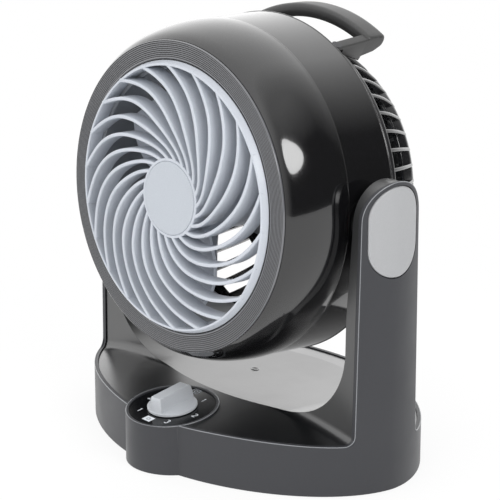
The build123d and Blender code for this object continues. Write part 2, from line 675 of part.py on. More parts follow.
# ---------------------------------------------------------------- head
def bezel_ring():
    """Flat front ring with fine concentric grooves."""
    pitch = (GROOVE_LAST_R - GROOVE_FIRST_R) / GROOVE_COUNT
    front = [(BEZEL_IN_R, BEZEL_Y)]
    for i in range(GROOVE_COUNT):
        r = GROOVE_FIRST_R + i * pitch
        front += [(r, BEZEL_Y), (r + pitch / 2, BEZEL_Y + GROOVE_DEEP)]
    front += [(GROOVE_LAST_R, BEZEL_Y), (BEZEL_R, BEZEL_Y + GROOVE_DEEP)]
    rear = BEZEL_Y + BEZEL_THICK
    inner = FRONT_STATIONS[0][1] - SHELL_WALL - AIR
    back = [(BEZEL_R, rear), (inner, rear), (inner, rear + BEZEL_STEP), (BEZEL_IN_R, rear + BEZEL_STEP)]
    return lathe(*front, *back)


def shell_ring(stations, wall):
    """Smooth shell of one wall thickness through (y, radius) stations."""
    outer = Spline(*[(r, y) for y, r in stations])
    inner = Spline(*[(r - wall, y) for y, r in stations])
    ends = [Line(outer @ 0, inner @ 0), Line(outer @ 1, inner @ 1)]
    return revolve(make_face([outer, inner, *ends]), Axis.Y, 360)


def front_shell():
    """Bulging front shell with the four long screw posts."""
    body = shell_ring(FRONT_STATIONS, SHELL_WALL)
    rib_r = FRONT_STATIONS[3][1] - SHELL_WALL / 2
    start = DUCT_FRONT_Y + DUCT_FLANGE
    for angle in SHELL_SCREWS:
        post = y_drum(SHELL_POST_R, start, REAR_LIP_Y, POST_RING_R)
        rib = box(POST_RING_R, rib_r, start + SHELL_POST_R, FRONT_STATIONS[-1][0], -RIB_HALF, RIB_HALF)
        post = (post + rib) - y_drum(SCREW_R, REAR_LIP_Y - SHELL_SCREW_LONG - AIR, REAR_LIP_Y, POST_RING_R)
        body += spun(post, angle)
    return body


def air_duct():
    """Inner ring round the impeller, hung from a flange behind the bezel."""
    out = DUCT_R + DUCT_WALL
    front = DUCT_FRONT_Y
    edge = FRONT_STATIONS[1][1] - SHELL_WALL - AIR
    bend = DUCT_END_Y - DUCT_FLARE
    return lathe((DUCT_R, front), (edge, front), (edge, front + DUCT_FLANGE),
                 (out, front + DUCT_FLANGE), (out, bend), (out + DUCT_FLARE, DUCT_END_Y),
                 (DUCT_R + DUCT_FLARE, DUCT_END_Y), (DUCT_R, bend))


def rear_shell():
    """Rear shell with its stepped rear edge and the two pivot pads."""
    body = shell_ring(REAR_STATIONS, SHELL_WALL)
    y, r = REAR_STATIONS[-1]
    face = REAR_LIP_Y - REAR_FLANGE_THICK
    body += lathe((r - SHELL_WALL, y), (r, y), (REAR_LIP_R, REAR_LIP_Y), (REAR_FLANGE_IN_R, REAR_LIP_Y),
                  (REAR_FLANGE_IN_R, face), (r - SHELL_WALL, face))
    pad = x_drum(PIVOT_PAD_R, PIVOT_TUBE_IN_X + AIR, PAD_X)
    neck = x_drum(PIVOT_TUBE_R, PIVOT_TUBE_IN_X, PAD_X)
    for part in both_sides(pad + neck):
        body += part
    body -= x_drum(PIN_R + RUN, -PAD_X - 5, PAD_X + 5)
    return body


def vane_strip(wide):
    """One curved vane seen along the fan axis."""
    radii = [s[0] for s in VANE_STATIONS]
    turns = [radians(s[2]) for s in VANE_STATIONS]
    line = Spline(*[(r * cos(t), r * sin(t)) for r, t in zip(radii, turns)])
    sides = []
    for offset in (-wide / 2, wide / 2):
        points = []
        for i in range(17):
            tangent = line % (i / 16)
            points.append(line @ (i / 16) + Vector(-tangent.Y, tangent.X) * offset)
        sides.append(Spline(*points))
    ends = [Line(sides[0] @ 0, sides[1] @ 0), Line(sides[0] @ 1, sides[1] @ 1)]
    return make_face([*sides, *ends])


def front_grille():
    """Ring, hub and spiral vanes; the vanes' front edges bulge forwards at half radius."""
    front = Spline(*[(s[0], s[1]) for s in VANE_STATIONS])
    back = Spline(*[(s[0], s[1] + VANE_DEEP) for s in VANE_STATIONS])
    ends = [Line(front @ 0, back @ 0), Line(front @ 1, back @ 1)]
    dome = revolve(make_face([front, back, *ends]), Axis.Y, 360)
    deep = BEZEL_Y + 2 * BEZEL_THICK
    start = Plane(origin=(0, deep, 0), x_dir=(1, 0, 0), z_dir=(0, -1, 0))
    one = extrude(start * vane_strip(VANE_THICK), 2 * VANE_DEEP) & dome
    rear = BEZEL_Y + BEZEL_THICK + BEZEL_STEP
    body = lathe((GRILLE_IN_R, GRILLE_FRONT_Y + 0.5), (GRILLE_IN_R + 0.5, GRILLE_FRONT_Y),
                 (GRILLE_FRONT_R, GRILLE_FRONT_Y), (GRILLE_FRONT_R + 0.6, GRILLE_FRONT_Y + 0.8),
                 (GRILLE_R, BEZEL_Y), (GRILLE_R, rear), (GRILLE_FLANGE_R, rear),
                 (GRILLE_FLANGE_R, rear + GRILLE_FLANGE), (GRILLE_IN_R, rear + GRILLE_FLANGE))
    seat = CAP_FRONT_Y + CAP_THICK
    rim = VANE_STATIONS[1][1]
    inner = GRILLE_HUB_R - GRILLE_HUB_WALL
    body += lathe((0, seat), (CAP_R + FIT, seat), (CAP_R + FIT, rim), (GRILLE_HUB_R, rim),
                  (GRILLE_HUB_R, seat + GRILLE_HUB_DEEP), (inner, seat + GRILLE_HUB_DEEP),
                  (inner, seat + GRILLE_HUB_FLOOR), (0, seat + GRILLE_HUB_FLOOR))
    return body.fuse(*[spun(one, i * 360 / VANES) for i in range(VANES)])


def grille_cap():
    """Plain round cap on the grille's hub."""
    return lathe((0, CAP_FRONT_Y), (CAP_R - 1.0, CAP_FRONT_Y), (CAP_R - 0.3, CAP_FRONT_Y + 0.3),
                 (CAP_R, CAP_FRONT_Y + 1), (CAP_R, CAP_FRONT_Y + CAP_THICK), (0, CAP_FRONT_Y + CAP_THICK))


def blade():
    """One wide blade: at each radius it sweeps back and flattens towards its rear edge."""
    rows = []
    for r, y, angle, span, deep in BLADE_STATIONS:
        row = []
        for i in range(BLADE_STEPS):
            s = i / (BLADE_STEPS - 1)
            turn = radians(angle - span * s)
            back = deep * (BLADE_BOW * s - (BLADE_BOW - 1) * s * s)
            row.append(Vector(r * cos(turn), y + back, r * sin(turn)))
        rows.append(row)
    return thicken(Face.make_surface_from_array_of_points(rows), BLADE_THICK / 2, both=True)


def impeller():
    """Hub cup, shaft core and blades."""
    r, wall = IMPELLER_HUB_R, IMPELLER_WALL
    front, bend, corner = HUB_FRONT_Y, HUB_FRONT_Y + HUB_ROUND, HUB_ROUND * 0.27
    body = lathe((SHAFT_R, front), (r - HUB_ROUND, front), (r - corner, front + corner), (r, bend),
                 (r, HUB_REAR_Y), (r - wall, HUB_REAR_Y), (r - wall, bend), (HUB_CORE_R, front + wall + 1),
                 (HUB_CORE_R, HUB_REAR_Y), (SHAFT_R, HUB_REAR_Y))
    one = blade()
    return body.fuse(*[spun(one, i * 360 / BLADES) for i in range(BLADES)])


def impeller_nut():
    """Domed nut on the front end of the shaft."""
    y, top, inside = HUB_FRONT_Y, HUB_FRONT_Y - NUT_TALL, HUB_FRONT_Y - NUT_TALL / 2
    return lathe((0, top), (NUT_R * 0.55, top + NUT_TALL / 10), (NUT_R * 0.9, inside), (NUT_R, y - 1),
                 (NUT_R, y), (SHAFT_R, y), (SHAFT_R, inside), (0, inside))


def motor_shaft():
    """Steel shaft from the nut to the rear bush."""
    return y_drum(SHAFT_R, HUB_FRONT_Y - NUT_TALL / 2, SHAFT_REAR_Y)


def motor_rotor():
    """Rotor core on the shaft."""
    return tube(SHAFT_R, STATOR_IN_R - AIR_GAP, STATOR_Y0, STATOR_Y1)


def motor_half(y0, y1, end_at_front):
    """One cup of the motor casing with a seat for its bush."""
    wall = MOTOR_WALL
    seat0, seat1 = (y0, y0 + BUSH_LONG) if end_at_front else (y1 - BUSH_LONG, y1)
    body = tube(MOTOR_R - wall, MOTOR_R, y0, y1)
    body += tube(BUSH_R, MOTOR_R, y0, y0 + wall) if end_at_front else tube(BUSH_R, MOTOR_R, y1 - wall, y1)
    return body + tube(BUSH_R, BUSH_R + wall, seat0, seat1)


def motor_front_cover():
    """Front half of the motor casing."""
    return motor_half(MOTOR_FRONT_Y, (STATOR_Y0 + STATOR_Y1) / 2, True)


def motor_rear_cover():
    """Rear half of the motor casing, drilled for its screws."""
    body = motor_half((STATOR_Y0 + STATOR_Y1) / 2, MOTOR_REAR_Y, False)
    for angle in SCREW_TURNS:
        body -= spun(y_drum(SCREW_R, MOTOR_REAR_Y - 2 * MOTOR_WALL, MOTOR_REAR_Y, MOTOR_SCREW_R), angle)
    return body


def motor_stator():
    """Laminated stator ring clamped between the casing halves."""
    return tube(STATOR_IN_R, MOTOR_R - MOTOR_WALL, STATOR_Y0, STATOR_Y1)


def motor_coils():
    """Coil heads either side of the stator."""
    front = tube(COIL_IN_R, COIL_OUT_R, STATOR_Y0 - COIL_DEEP, STATOR_Y0)
    return [front, tube(COIL_IN_R, COIL_OUT_R, STATOR_Y1, STATOR_Y1 + COIL_DEEP)]


def motor_bushes():
    """Sintered bushes at both ends of the motor."""
    front = tube(SHAFT_R + RUN, BUSH_R, MOTOR_FRONT_Y, MOTOR_FRONT_Y + BUSH_LONG)
    return [front, tube(SHAFT_R + RUN, BUSH_R, MOTOR_REAR_Y - BUSH_LONG, MOTOR_REAR_Y)]


def motor_screws():
    """Screws through the guard's disc into the motor."""
    seat = GUARD_REAR_Y
    head = y_drum(SCREW_HEAD_R, seat, seat + SCREW_HEAD_TALL, MOTOR_SCREW_R)
    shank = y_drum(SCREW_R - RUN, MOTOR_REAR_Y - 2 * MOTOR_WALL, seat, MOTOR_SCREW_R)
    return [spun(head + shank, angle) for angle in SCREW_TURNS]


def fin():
    """One radial fin of the guard, bent from the side over the rear edge to the dish."""
    outer = [(GUARD_BASE_IN_R + out, y) for out, y in GUARD_SIDE]
    inner = []
    for i in range(len(outer) - 1, -1, -1):
        before, after = outer[max(i - 1, 0)], outer[min(i + 1, len(outer) - 1)]
        dr, dy = after[0] - before[0], after[1] - before[1]
        long = hypot(dr, dy)
        inner.append((outer[i][0] - FIN_DEEP * dy / long, outer[i][1] + FIN_DEEP * dr / long))
    face = make_face(Polyline(*outer, *inner, close=True))
    return extrude(face, FIN_THICK / 2, both=True)


def rear_guard():
    """Finned guard: base ring, dish and radial fins."""
    body = tube(GUARD_BASE_IN_R, GUARD_BASE_IN_R + GUARD_BASE_WALL, REAR_LIP_Y, GUARD_BASE_Y)
    inside = [(GUARD_DISH_R + out, y) for out, y in GUARD_DISH_IN]
    outside = [(GUARD_DISH_R + out, y) for out, y in GUARD_DISH]
    middle = [(0, GUARD_REAR_Y), (0, MOTOR_REAR_Y), (GUARD_MOUNT_R, MOTOR_REAR_Y), (GUARD_MOUNT_R, inside[-1][1])]
    parts = [lathe(*inside, *middle[::-1], *outside[::-1])]
    one = fin()
    parts += [spun(one, (i + FIN_PHASE) * 360 / FINS) for i in range(FINS)]
    tab = box(TAB_R, GUARD_BASE_IN_R + AIR, REAR_LIP_Y, TAB_TOP, -TAB_WIDE / 2, TAB_WIDE / 2)
    parts += [spun(tab, angle) for angle in SHELL_SCREWS]
    body = body.fuse(*parts)
    for angle in SHELL_SCREWS:
        body -= spun(y_drum(SCREW_R + FIT, 0, TAB_TOP, POST_RING_R), angle)
    for angle in SCREW_TURNS:
        body -= spun(y_drum(SCREW_R, MOTOR_REAR_Y, GUARD_REAR_Y, MOTOR_SCREW_R), angle)
    for angle in handle_legs():
        body -= spun(handle_bolt(SCREW_R), angle)
    return body


def shell_screws():
    """Long screws that draw guard, rear shell and front shell together."""
    head = y_drum(SCREW_HEAD_R, TAB_TOP, TAB_TOP + SCREW_HEAD_TALL, POST_RING_R)
    shank = y_drum(SCREW_R - RUN, REAR_LIP_Y - SHELL_SCREW_LONG, TAB_TOP, POST_RING_R)
    return [spun(head + shank, angle) for angle in SHELL_SCREWS]


def handle_legs():
    """Angles of the handle's two legs about the fan axis."""
    half_leg = degrees(HANDLE_LEG / 2 / HANDLE_R)
    return (90 - HANDLE_HALF_ANGLE + half_leg, 90 + HANDLE_HALF_ANGLE - half_leg)


def handle_bolt(r):
    """Radial screw hole through a leg into the guard's base ring."""
    return x_drum(r, GUARD_BASE_IN_R + 1, BOLT_SEAT_R, 0, LEG_BOLT_Y)


def carry_handle():
    """Curved bar on two slanting legs behind the top of the rear shell."""
    r, inner, rear = HANDLE_R, HANDLE_IN_R, HANDLE_REAR_Y
    outline = Polyline((inner, HANDLE_BAR_Y + 2), (inner + 3, HANDLE_BAR_Y), (r, HANDLE_BAR_Y),
                       (r, rear - HANDLE_ROUND), (r - HANDLE_ROUND, rear), (inner, rear), close=True)
    bar = revolve(make_face(outline), Axis.Y, 2 * HANDLE_HALF_ANGLE)
    middle = bar.center()
    body = spun(bar, 90 - degrees(atan2(middle.Z, middle.X)))
    outline = [(GUARD_BASE_IN_R + out, y) for out, y in LEG_OUTLINE]
    leg = extrude(make_face(Polyline(*outline, close=True)), HANDLE_LEG / 2, both=True)
    leg -= handle_bolt(SCREW_R) + x_drum(SCREW_HEAD_R, BOLT_SEAT_R, HANDLE_R, 0, LEG_BOLT_Y)
    for angle in handle_legs():
        body += spun(leg, angle)
    return body


def handle_screws():
    """Screws in the feet of the handle's legs."""
    screw = handle_bolt(SCREW_R - RUN)
    screw += x_drum(SCREW_HEAD_R - FIT, BOLT_SEAT_R, BOLT_SEAT_R + BOLT_HEAD_TALL, 0, LEG_BOLT_Y)
    return [spun(screw, angle) for angle in handle_legs()]


# ---------------------------------------------------------------- write the sub-parts
os.makedirs("parts", exist_ok=True)

for maker in (foot_plate, rubber_feet, glide_ring, swing_washer, swing_screw):
    keep(maker.__name__, maker())

for maker in (base_shell, deck_tray, bottom_cover, base_screws, dial_plate, rotary_switch, swing_motor,
              swing_motor_screws, cord_gland, crank_arm, crank_pin, dial_knob, knob_spindle):
    keep(maker.__name__, maker())
keep("ballast_plate", floor_block(BALLAST_SIZE, BALLAST_AT))
keep("run_capacitor", floor_block(CAPACITOR_SIZE, CAPACITOR_AT))
keep("terminal_block", floor_block(TERMINAL_SIZE, TERMINAL_AT))
keep("arm_cap_right", arm_cap())
keep("arm_cap_left", mirror(arm_cap(), Plane.YZ))
keep("pivot_pins", both_sides(pivot_pin()))
keep("pivot_nuts", both_sides(pivot_nut()))
keep("friction_washers", both_sides(friction_washer()))

for maker in (bezel_ring, front_shell, air_duct, rear_shell, front_grille, grille_cap, impeller, impeller_nut,
              motor_shaft, motor_rotor, motor_front_cover, motor_rear_cover, motor_stator, motor_coils,
              motor_bushes, motor_screws, rear_guard, shell_screws, carry_handle, handle_screws):
    made = maker()
    keep(maker.__name__, [HEAD * s for s in made] if isinstance(made, list) else HEAD * made)
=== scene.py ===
"""Looks of a desk air circulator: a round fan head that tilts between two arms of a swinging base.

Sizes are written in millimetres and become metres when a mesh is laid.  Z is up, X runs along the
tilt pins and the air leaves towards -Y.  Forms of the head are worked out in the head's own frame,
whose origin is the middle of the tilt pins and whose Y is the fan axis.  A profile is a line of
(radius, y) points, and a list of rounds holds the rounding of each of its corners.
"""
import logging
import math
from collections.abc import Callable, Sequence
from dataclasses import dataclass
from enum import Enum
from functools import partial

import bmesh
import bpy
import numpy as np
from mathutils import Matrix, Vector
from numpy.typing import NDArray

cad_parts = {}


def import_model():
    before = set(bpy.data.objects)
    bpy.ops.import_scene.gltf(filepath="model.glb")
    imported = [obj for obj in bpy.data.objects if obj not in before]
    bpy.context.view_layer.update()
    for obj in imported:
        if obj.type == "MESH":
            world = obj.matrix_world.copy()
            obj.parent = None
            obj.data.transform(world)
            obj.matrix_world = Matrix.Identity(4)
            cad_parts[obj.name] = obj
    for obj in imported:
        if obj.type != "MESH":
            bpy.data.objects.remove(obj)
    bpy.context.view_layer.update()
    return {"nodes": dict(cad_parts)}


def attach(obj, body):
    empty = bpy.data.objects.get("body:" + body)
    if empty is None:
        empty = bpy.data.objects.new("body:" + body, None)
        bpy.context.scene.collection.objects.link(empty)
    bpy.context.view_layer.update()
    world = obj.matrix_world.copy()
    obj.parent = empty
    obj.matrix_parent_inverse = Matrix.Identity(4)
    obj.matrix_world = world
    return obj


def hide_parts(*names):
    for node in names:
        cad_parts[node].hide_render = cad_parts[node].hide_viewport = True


LOG = logging.getLogger("air_circulator")
MM = 0.001
WELD = 1e-6  # Points closer than this become one, metres.
SPECK = 1e-7  # Edges shorter than this are dropped, metres.
SHARP = 38.0  # Edges that bend by more stay sharp, degrees.
MIRROR = np.array([-1.0, 1.0, 1.0])  # Turns a piece on the right into the one on the left.
X_AXIS, Y_AXIS, Z_AXIS = np.eye(3)

Points = NDArray[np.float64]
Pair = tuple[float, float]
Triple = tuple[float, float, float]
Line = Sequence[Pair]
Rounds = Sequence[float]
Socket = bpy.types.NodeSocket
Sockets = bpy.types.bpy_prop_collection
Feed = Socket | float | tuple[float, ...]  # What an input of a shader node takes.


class Body(Enum):
    """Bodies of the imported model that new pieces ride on."""

    YOKE = "yoke"
    KNOB = "knob"
    HEAD = "head"


# ---------------- forms
@dataclass(frozen=True)
class Form:
    """A grid of points with its quads; where it wraps, its last row or column joins the first."""

    points: Points  # Shape (rows, columns, 3), millimetres.
    wrap_rows: bool = False
    wrap_columns: bool = False

    def quads(self, first: int) -> NDArray[np.int64]:
        """Corner numbers of each quad: a cell's corners are (i, j), (i+1, j), (i+1, j+1), (i, j+1).

        Args:
            first: Number of the form's first point in the mesh.

        Returns:
            Array of shape (quads, 4).
        """
        rows, columns = self.points.shape[:2]
        i = np.arange(rows if self.wrap_rows else rows - 1)[:, None]
        j = np.arange(columns if self.wrap_columns else columns - 1)[None, :]
        below, beside = (i + 1) % rows, (j + 1) % columns
        cells = np.stack([i * columns + j, below * columns + j, below * columns + beside,
                          i * columns + beside], axis=-1)
        return cells.reshape(-1, 4) + first

    def moved(self, change: Callable[[Points], Points]) -> "Form":
        """The same grid with its points passed through a change of place."""
        return Form(change(self.points), self.wrap_rows, self.wrap_columns)

    def copies(self, angles: Points) -> list["Form"]:
        """The same grid turned about the fan axis by each angle, degrees from +X towards +Z."""
        return [self.moved(partial(rotated, degrees=a, first=0, second=2)) for a in angles]


def lay_mesh(name: str, forms: Sequence[Form], sharp: float = SHARP) -> bpy.types.Object:
    """Make one closed piece of several forms: coinciding points merge and faces turn outwards.

    Args:
        name: Name of the piece.
        forms: The grids it is made of, in millimetres in the row frame.
        sharp: Edges that bend by more than this many degrees stay sharp.

    Returns:
        The new object, at the origin, with its place in its mesh.
    """
    starts = np.cumsum([0] + [f.points.shape[0] * f.points.shape[1] for f in forms])
    points = np.concatenate([f.points.reshape(-1, 3) for f in forms]) * MM
    quads = np.concatenate([f.quads(int(s)) for f, s in zip(forms, starts)])
    mesh = bpy.data.meshes.new(name)
    mesh.vertices.add(len(points))
    mesh.vertices.foreach_set("co", points.ravel())
    mesh.loops.add(quads.size)
    mesh.loops.foreach_set("vertex_index", quads.ravel().astype(np.int32))
    mesh.polygons.add(len(quads))
    mesh.polygons.foreach_set("loop_start", np.arange(0, quads.size, 4, dtype=np.int32))
    mesh.update(calc_edges=True)
    work = bmesh.new()
    work.from_mesh(mesh)
    bmesh.ops.remove_doubles(work, verts=work.verts, dist=WELD)
    bmesh.ops.dissolve_degenerate(work, edges=work.edges, dist=SPECK)
    bmesh.ops.recalc_face_normals(work, faces=work.faces)
    work.to_mesh(mesh)
    work.free()
    mesh.shade_smooth()
    mesh.set_sharp_from_angle(angle=math.radians(sharp))
    piece = bpy.data.objects.new(name, mesh)
    bpy.context.scene.collection.objects.link(piece)
    return piece


def unit(vectors: Points) -> Points:
    """Vectors of length one."""
    return vectors / np.linalg.norm(vectors, axis=-1, keepdims=True)


def rotated(points: Points, degrees: float, first: int, second: int) -> Points:
    """Points turned in the plane of two axes: (a cos t - b sin t, a sin t + b cos t).

    Args:
        points: Shape (..., 3).
        degrees: The angle t, from the first axis towards the second.
        first: Number of the first axis.
        second: Number of the second axis.

    Returns:
        Array of the same shape.
    """
    c, s = math.cos(math.radians(degrees)), math.sin(math.radians(degrees))
    a, b = points[..., first], points[..., second]
    turned = np.array(points)
    turned[..., first], turned[..., second] = a * c - b * s, a * s + b * c
    return turned


def circle(radius: float, count: int) -> Points:
    """Points of a circle round (0, 0)."""
    angle = np.linspace(0, 2 * np.pi, count, endpoint=False)
    return radius * np.stack([np.cos(angle), np.sin(angle)], axis=-1)


def arc(wide: float, high: float, middle: float, start: float, end: float,
        count: int = 12) -> Points:
    """Points (w cos a, m + h sin a) of an arc between two angles, in degrees."""
    angle = np.radians(np.linspace(start, end, count))
    return np.stack([wide * np.cos(angle), middle + high * np.sin(angle)], axis=-1)


def rectangle(low: Pair, high: Pair) -> Points:
    """Corners of a rectangle, from its lowest corner along its first value."""
    return np.array([low, (high[0], low[1]), high, (low[0], high[1])])


def soften(outline: Points | Line, rounds: float | Rounds, steps: int = 5) -> Points:
    """Closed outline whose corners are rounded off.

    Each corner P becomes the curve (1-t)^2 A + 2t(1-t) P + t^2 B, where A and B lie on its two
    sides, as far from P as its rounding, and short of the middle of the side.

    Args:
        outline: Corners, shape (corners, 2).
        rounds: One rounding for all corners or one for each, millimetres.
        steps: Points along a corner.

    Returns:
        Points of the rounded outline, shape (corners * steps, 2).
    """
    corner = np.asarray(outline, float)
    reach = np.broadcast_to(np.asarray(rounds, float), len(corner))[:, None]
    ends = []
    for side in (1, -1):
        away = np.roll(corner, side, axis=0) - corner
        long = np.linalg.norm(away, axis=1, keepdims=True)
        ends.append(corner + away / long * np.minimum(reach, 0.49 * long))
    t = np.linspace(0, 1, steps)[None, :, None]
    curve = ((1 - t) ** 2 * ends[0][:, None] + 2 * t * (1 - t) * corner[:, None]
             + t ** 2 * ends[1][:, None])
    return curve.reshape(-1, 2)


def lathe_line(corners: Line, rounds: Rounds, steps: int) -> Points:
    """Profile that starts and ends on the axis, with the corners between rounded off.

    Args:
        corners: Points (radius, y).
        rounds: Rounding of each corner, millimetres, with 0 for the first and the last.
        steps: Points along a corner.

    Returns:
        Array of shape (points, 2).
    """
    between = soften(corners, rounds, steps)[steps:-steps]
    return np.concatenate([corners[:1], between, corners[-1:]])


def smooth_line(stations: Points, count: int) -> Points:
    """Smooth line through stations, with a tangent at each that follows its neighbours.

    Between two stations it is the cubic h00 A + h10 Ta + h01 B + h11 Tb of Hermite.

    Args:
        stations: Shape (stations, values).
        count: Points to return, evenly spaced by station distance.

    Returns:
        Array of shape (count, values).
    """
    known = np.asarray(stations, float)
    step = np.linalg.norm(np.diff(known, axis=0), axis=1)
    at = np.concatenate([[0.0], np.cumsum(step)])
    slope = np.gradient(known, at, axis=0)
    where = np.linspace(0, at[-1], count)
    k = np.clip(np.searchsorted(at, where, side="right") - 1, 0, len(step) - 1)
    span = step[k][:, None]
    t = (where - at[k])[:, None] / span
    return ((2 * t ** 3 - 3 * t ** 2 + 1) * known[k]
            + (t ** 3 - 2 * t ** 2 + t) * span * slope[k]
            + (-2 * t ** 3 + 3 * t ** 2) * known[k + 1]
            + (t ** 3 - t ** 2) * span * slope[k + 1])


def spin(profile: Points, count: int, closed: bool = True) -> Form:
    """Profile of (radius, y) carried round the fan axis: (r cos a, y, r sin a).

    Args:
        profile: Shape (points, 2).
        count: Steps round the axis.
        closed: The profile's end joins its start; otherwise its ends lie on the axis.

    Returns:
        The form, in the head's frame.
    """
    angle = np.radians(np.linspace(0, 360, count, endpoint=False))[None, :]
    r, y = profile[:, 0, None], profile[:, 1, None]
    points = np.stack([r * np.cos(angle), y + 0 * angle, r * np.sin(angle)], axis=-1)
    return Form(points, wrap_rows=closed, wrap_columns=True)


def carry(section: Points, path: Points, side: Points, up: Points) -> Form:
    """Section carried along a path: point = path + side * section x + up * section y.

    The path's ends are closed by rows that shrink to its own end points.

    Args:
        section: Closed outline, shape (points, 2).
        path: Shape (stations, 3).
        side: Direction of the section's first value, one for all stations or one for each.
        up: Direction of its second value.

    Returns:
        The form.
    """
    side, up = (np.broadcast_to(way, path.shape)[:, None] for way in (side, up))
    rows = path[:, None] + side * section[None, :, :1] + up * section[None, :, 1:]
    ends = [np.broadcast_to(path[k], rows.shape[1:])[None] for k in (0, -1)]
    return Form(np.concatenate([ends[0], rows, ends[1]]), wrap_columns=True)


def closed_by_middles(rows: Points) -> Form:
    """Form of rings of points, closed at both ends by the middle of the end ring."""
    ends = [np.broadcast_to(rows[k].mean(axis=0), rows[k].shape)[None] for k in (0, -1)]
    return Form(np.concatenate([ends[0], rows, ends[1]]), wrap_columns=True)


# ---------------- frames
@dataclass(frozen=True)
class Frame:
    """A frame whose origin lies in the row frame and whose Y leans up by an angle in degrees."""

    origin: Triple
    lean: float

    def place(self, points: Points) -> Points:
        """Points of this frame in the row frame: turned about X, then moved."""
        return rotated(points, self.lean, 1, 2) + np.array(self.origin)


HEAD = Frame((0.0, 0.0, 164.2), -4.0)  # Middle of the tilt pins; the fan blows 4 degrees upwards.
DIAL = Frame((0.0, -65.5, 33.918), 6.2)  # Middle of the dial's face, on the slope of the deck.


# ---------------- finishes
def linear(code: str) -> tuple[float, float, float, float]:
    """Colour of a six-figure code as the shader wants it.

    Args:
        code: Two figures each for red, green and blue.

    Returns:
        Red, green, blue and full cover, without the screen's gamma.
    """
    parts = np.array([int(code[i:i + 2], 16) for i in (0, 2, 4)]) / 255
    values = np.where(parts <= 0.04045, parts / 12.92, ((parts + 0.055) / 1.055) ** 2.4)
    return (*map(float, values), 1.0)


@dataclass
class Wiring:
    """Short calls for the nodes of one tree."""

    tree: bpy.types.NodeTree

    def feed(self, node: bpy.types.Node, inputs: dict[str | int, Feed]) -> None:
        """Link inputs of a node to sockets, or set them to plain values.

        Args:
            node: The node.
            inputs: What each input takes, by its name or number.
        """
        for key, value in inputs.items():
            if isinstance(value, Socket):
                self.tree.links.new(value, node.inputs[key])
            else:
                node.inputs[key].default_value = value

    def add(self, kind: str, inputs: dict[str | int, Feed] | None = None,
            **settings: object) -> bpy.types.Node:
        """New node.

        Args:
            kind: Type of the node.
            inputs: What its inputs take.
            settings: Its properties, set before its inputs.

        Returns:
            The node.
        """
        node = self.tree.nodes.new(kind)
        for key, value in settings.items():
            setattr(node, key, value)
        self.feed(node, inputs or {})
        return node

    def math(self, way: str, *values: Feed) -> Socket:
        """Result of one operation, such as ADD, on sockets or numbers."""
        return self.add("ShaderNodeMath", dict(enumerate(values)), operation=way).outputs[0]

    def noise(self, vector: Socket, scale: Feed, detail: float = 2.0, rough: float = 0.5) -> Socket:
        """Grey noise on a vector."""
        inputs = {"Detail": detail, "Roughness": rough, "Vector": vector, "Scale": scale}
        return self.add("ShaderNodeTexNoise", inputs).outputs["Fac"]

    def span(self, value: Socket, low: float, high: float, to_low: float = 0.0,
             to_high: float = 1.0) -> Socket:
        """Value stretched from low..high to to_low..to_high and kept inside it."""
        inputs = dict(enumerate((value, low, high, to_low, to_high)))
        return self.add("ShaderNodeMapRange", inputs, clamp=True).outputs["Result"]

    def blend(self, share: Feed, first: Feed, second: Feed) -> Socket:
        """Colour between two colours."""
        inputs = {0: share, 6: first, 7: second}
        return self.add("ShaderNodeMix", inputs, data_type="RGBA").outputs[2]


def new_material(name: str) -> tuple[bpy.types.Material, Wiring, bpy.types.Node]:
    """New material with its wiring and its Principled shader.

    Args:
        name: Name of the material.

    Returns:
        The material, the wiring of its tree and the shader.
    """
    made = bpy.data.materials.new(name)
    made.use_nodes = True
    return made, Wiring(made.node_tree), made.node_tree.nodes["Principled BSDF"]


class Effect(Enum):
    """Shader node groups that several finishes share."""

    GRAIN = "moulded_grain"
    HANDLING = "handling_smears"
    DUST = "settled_dust"


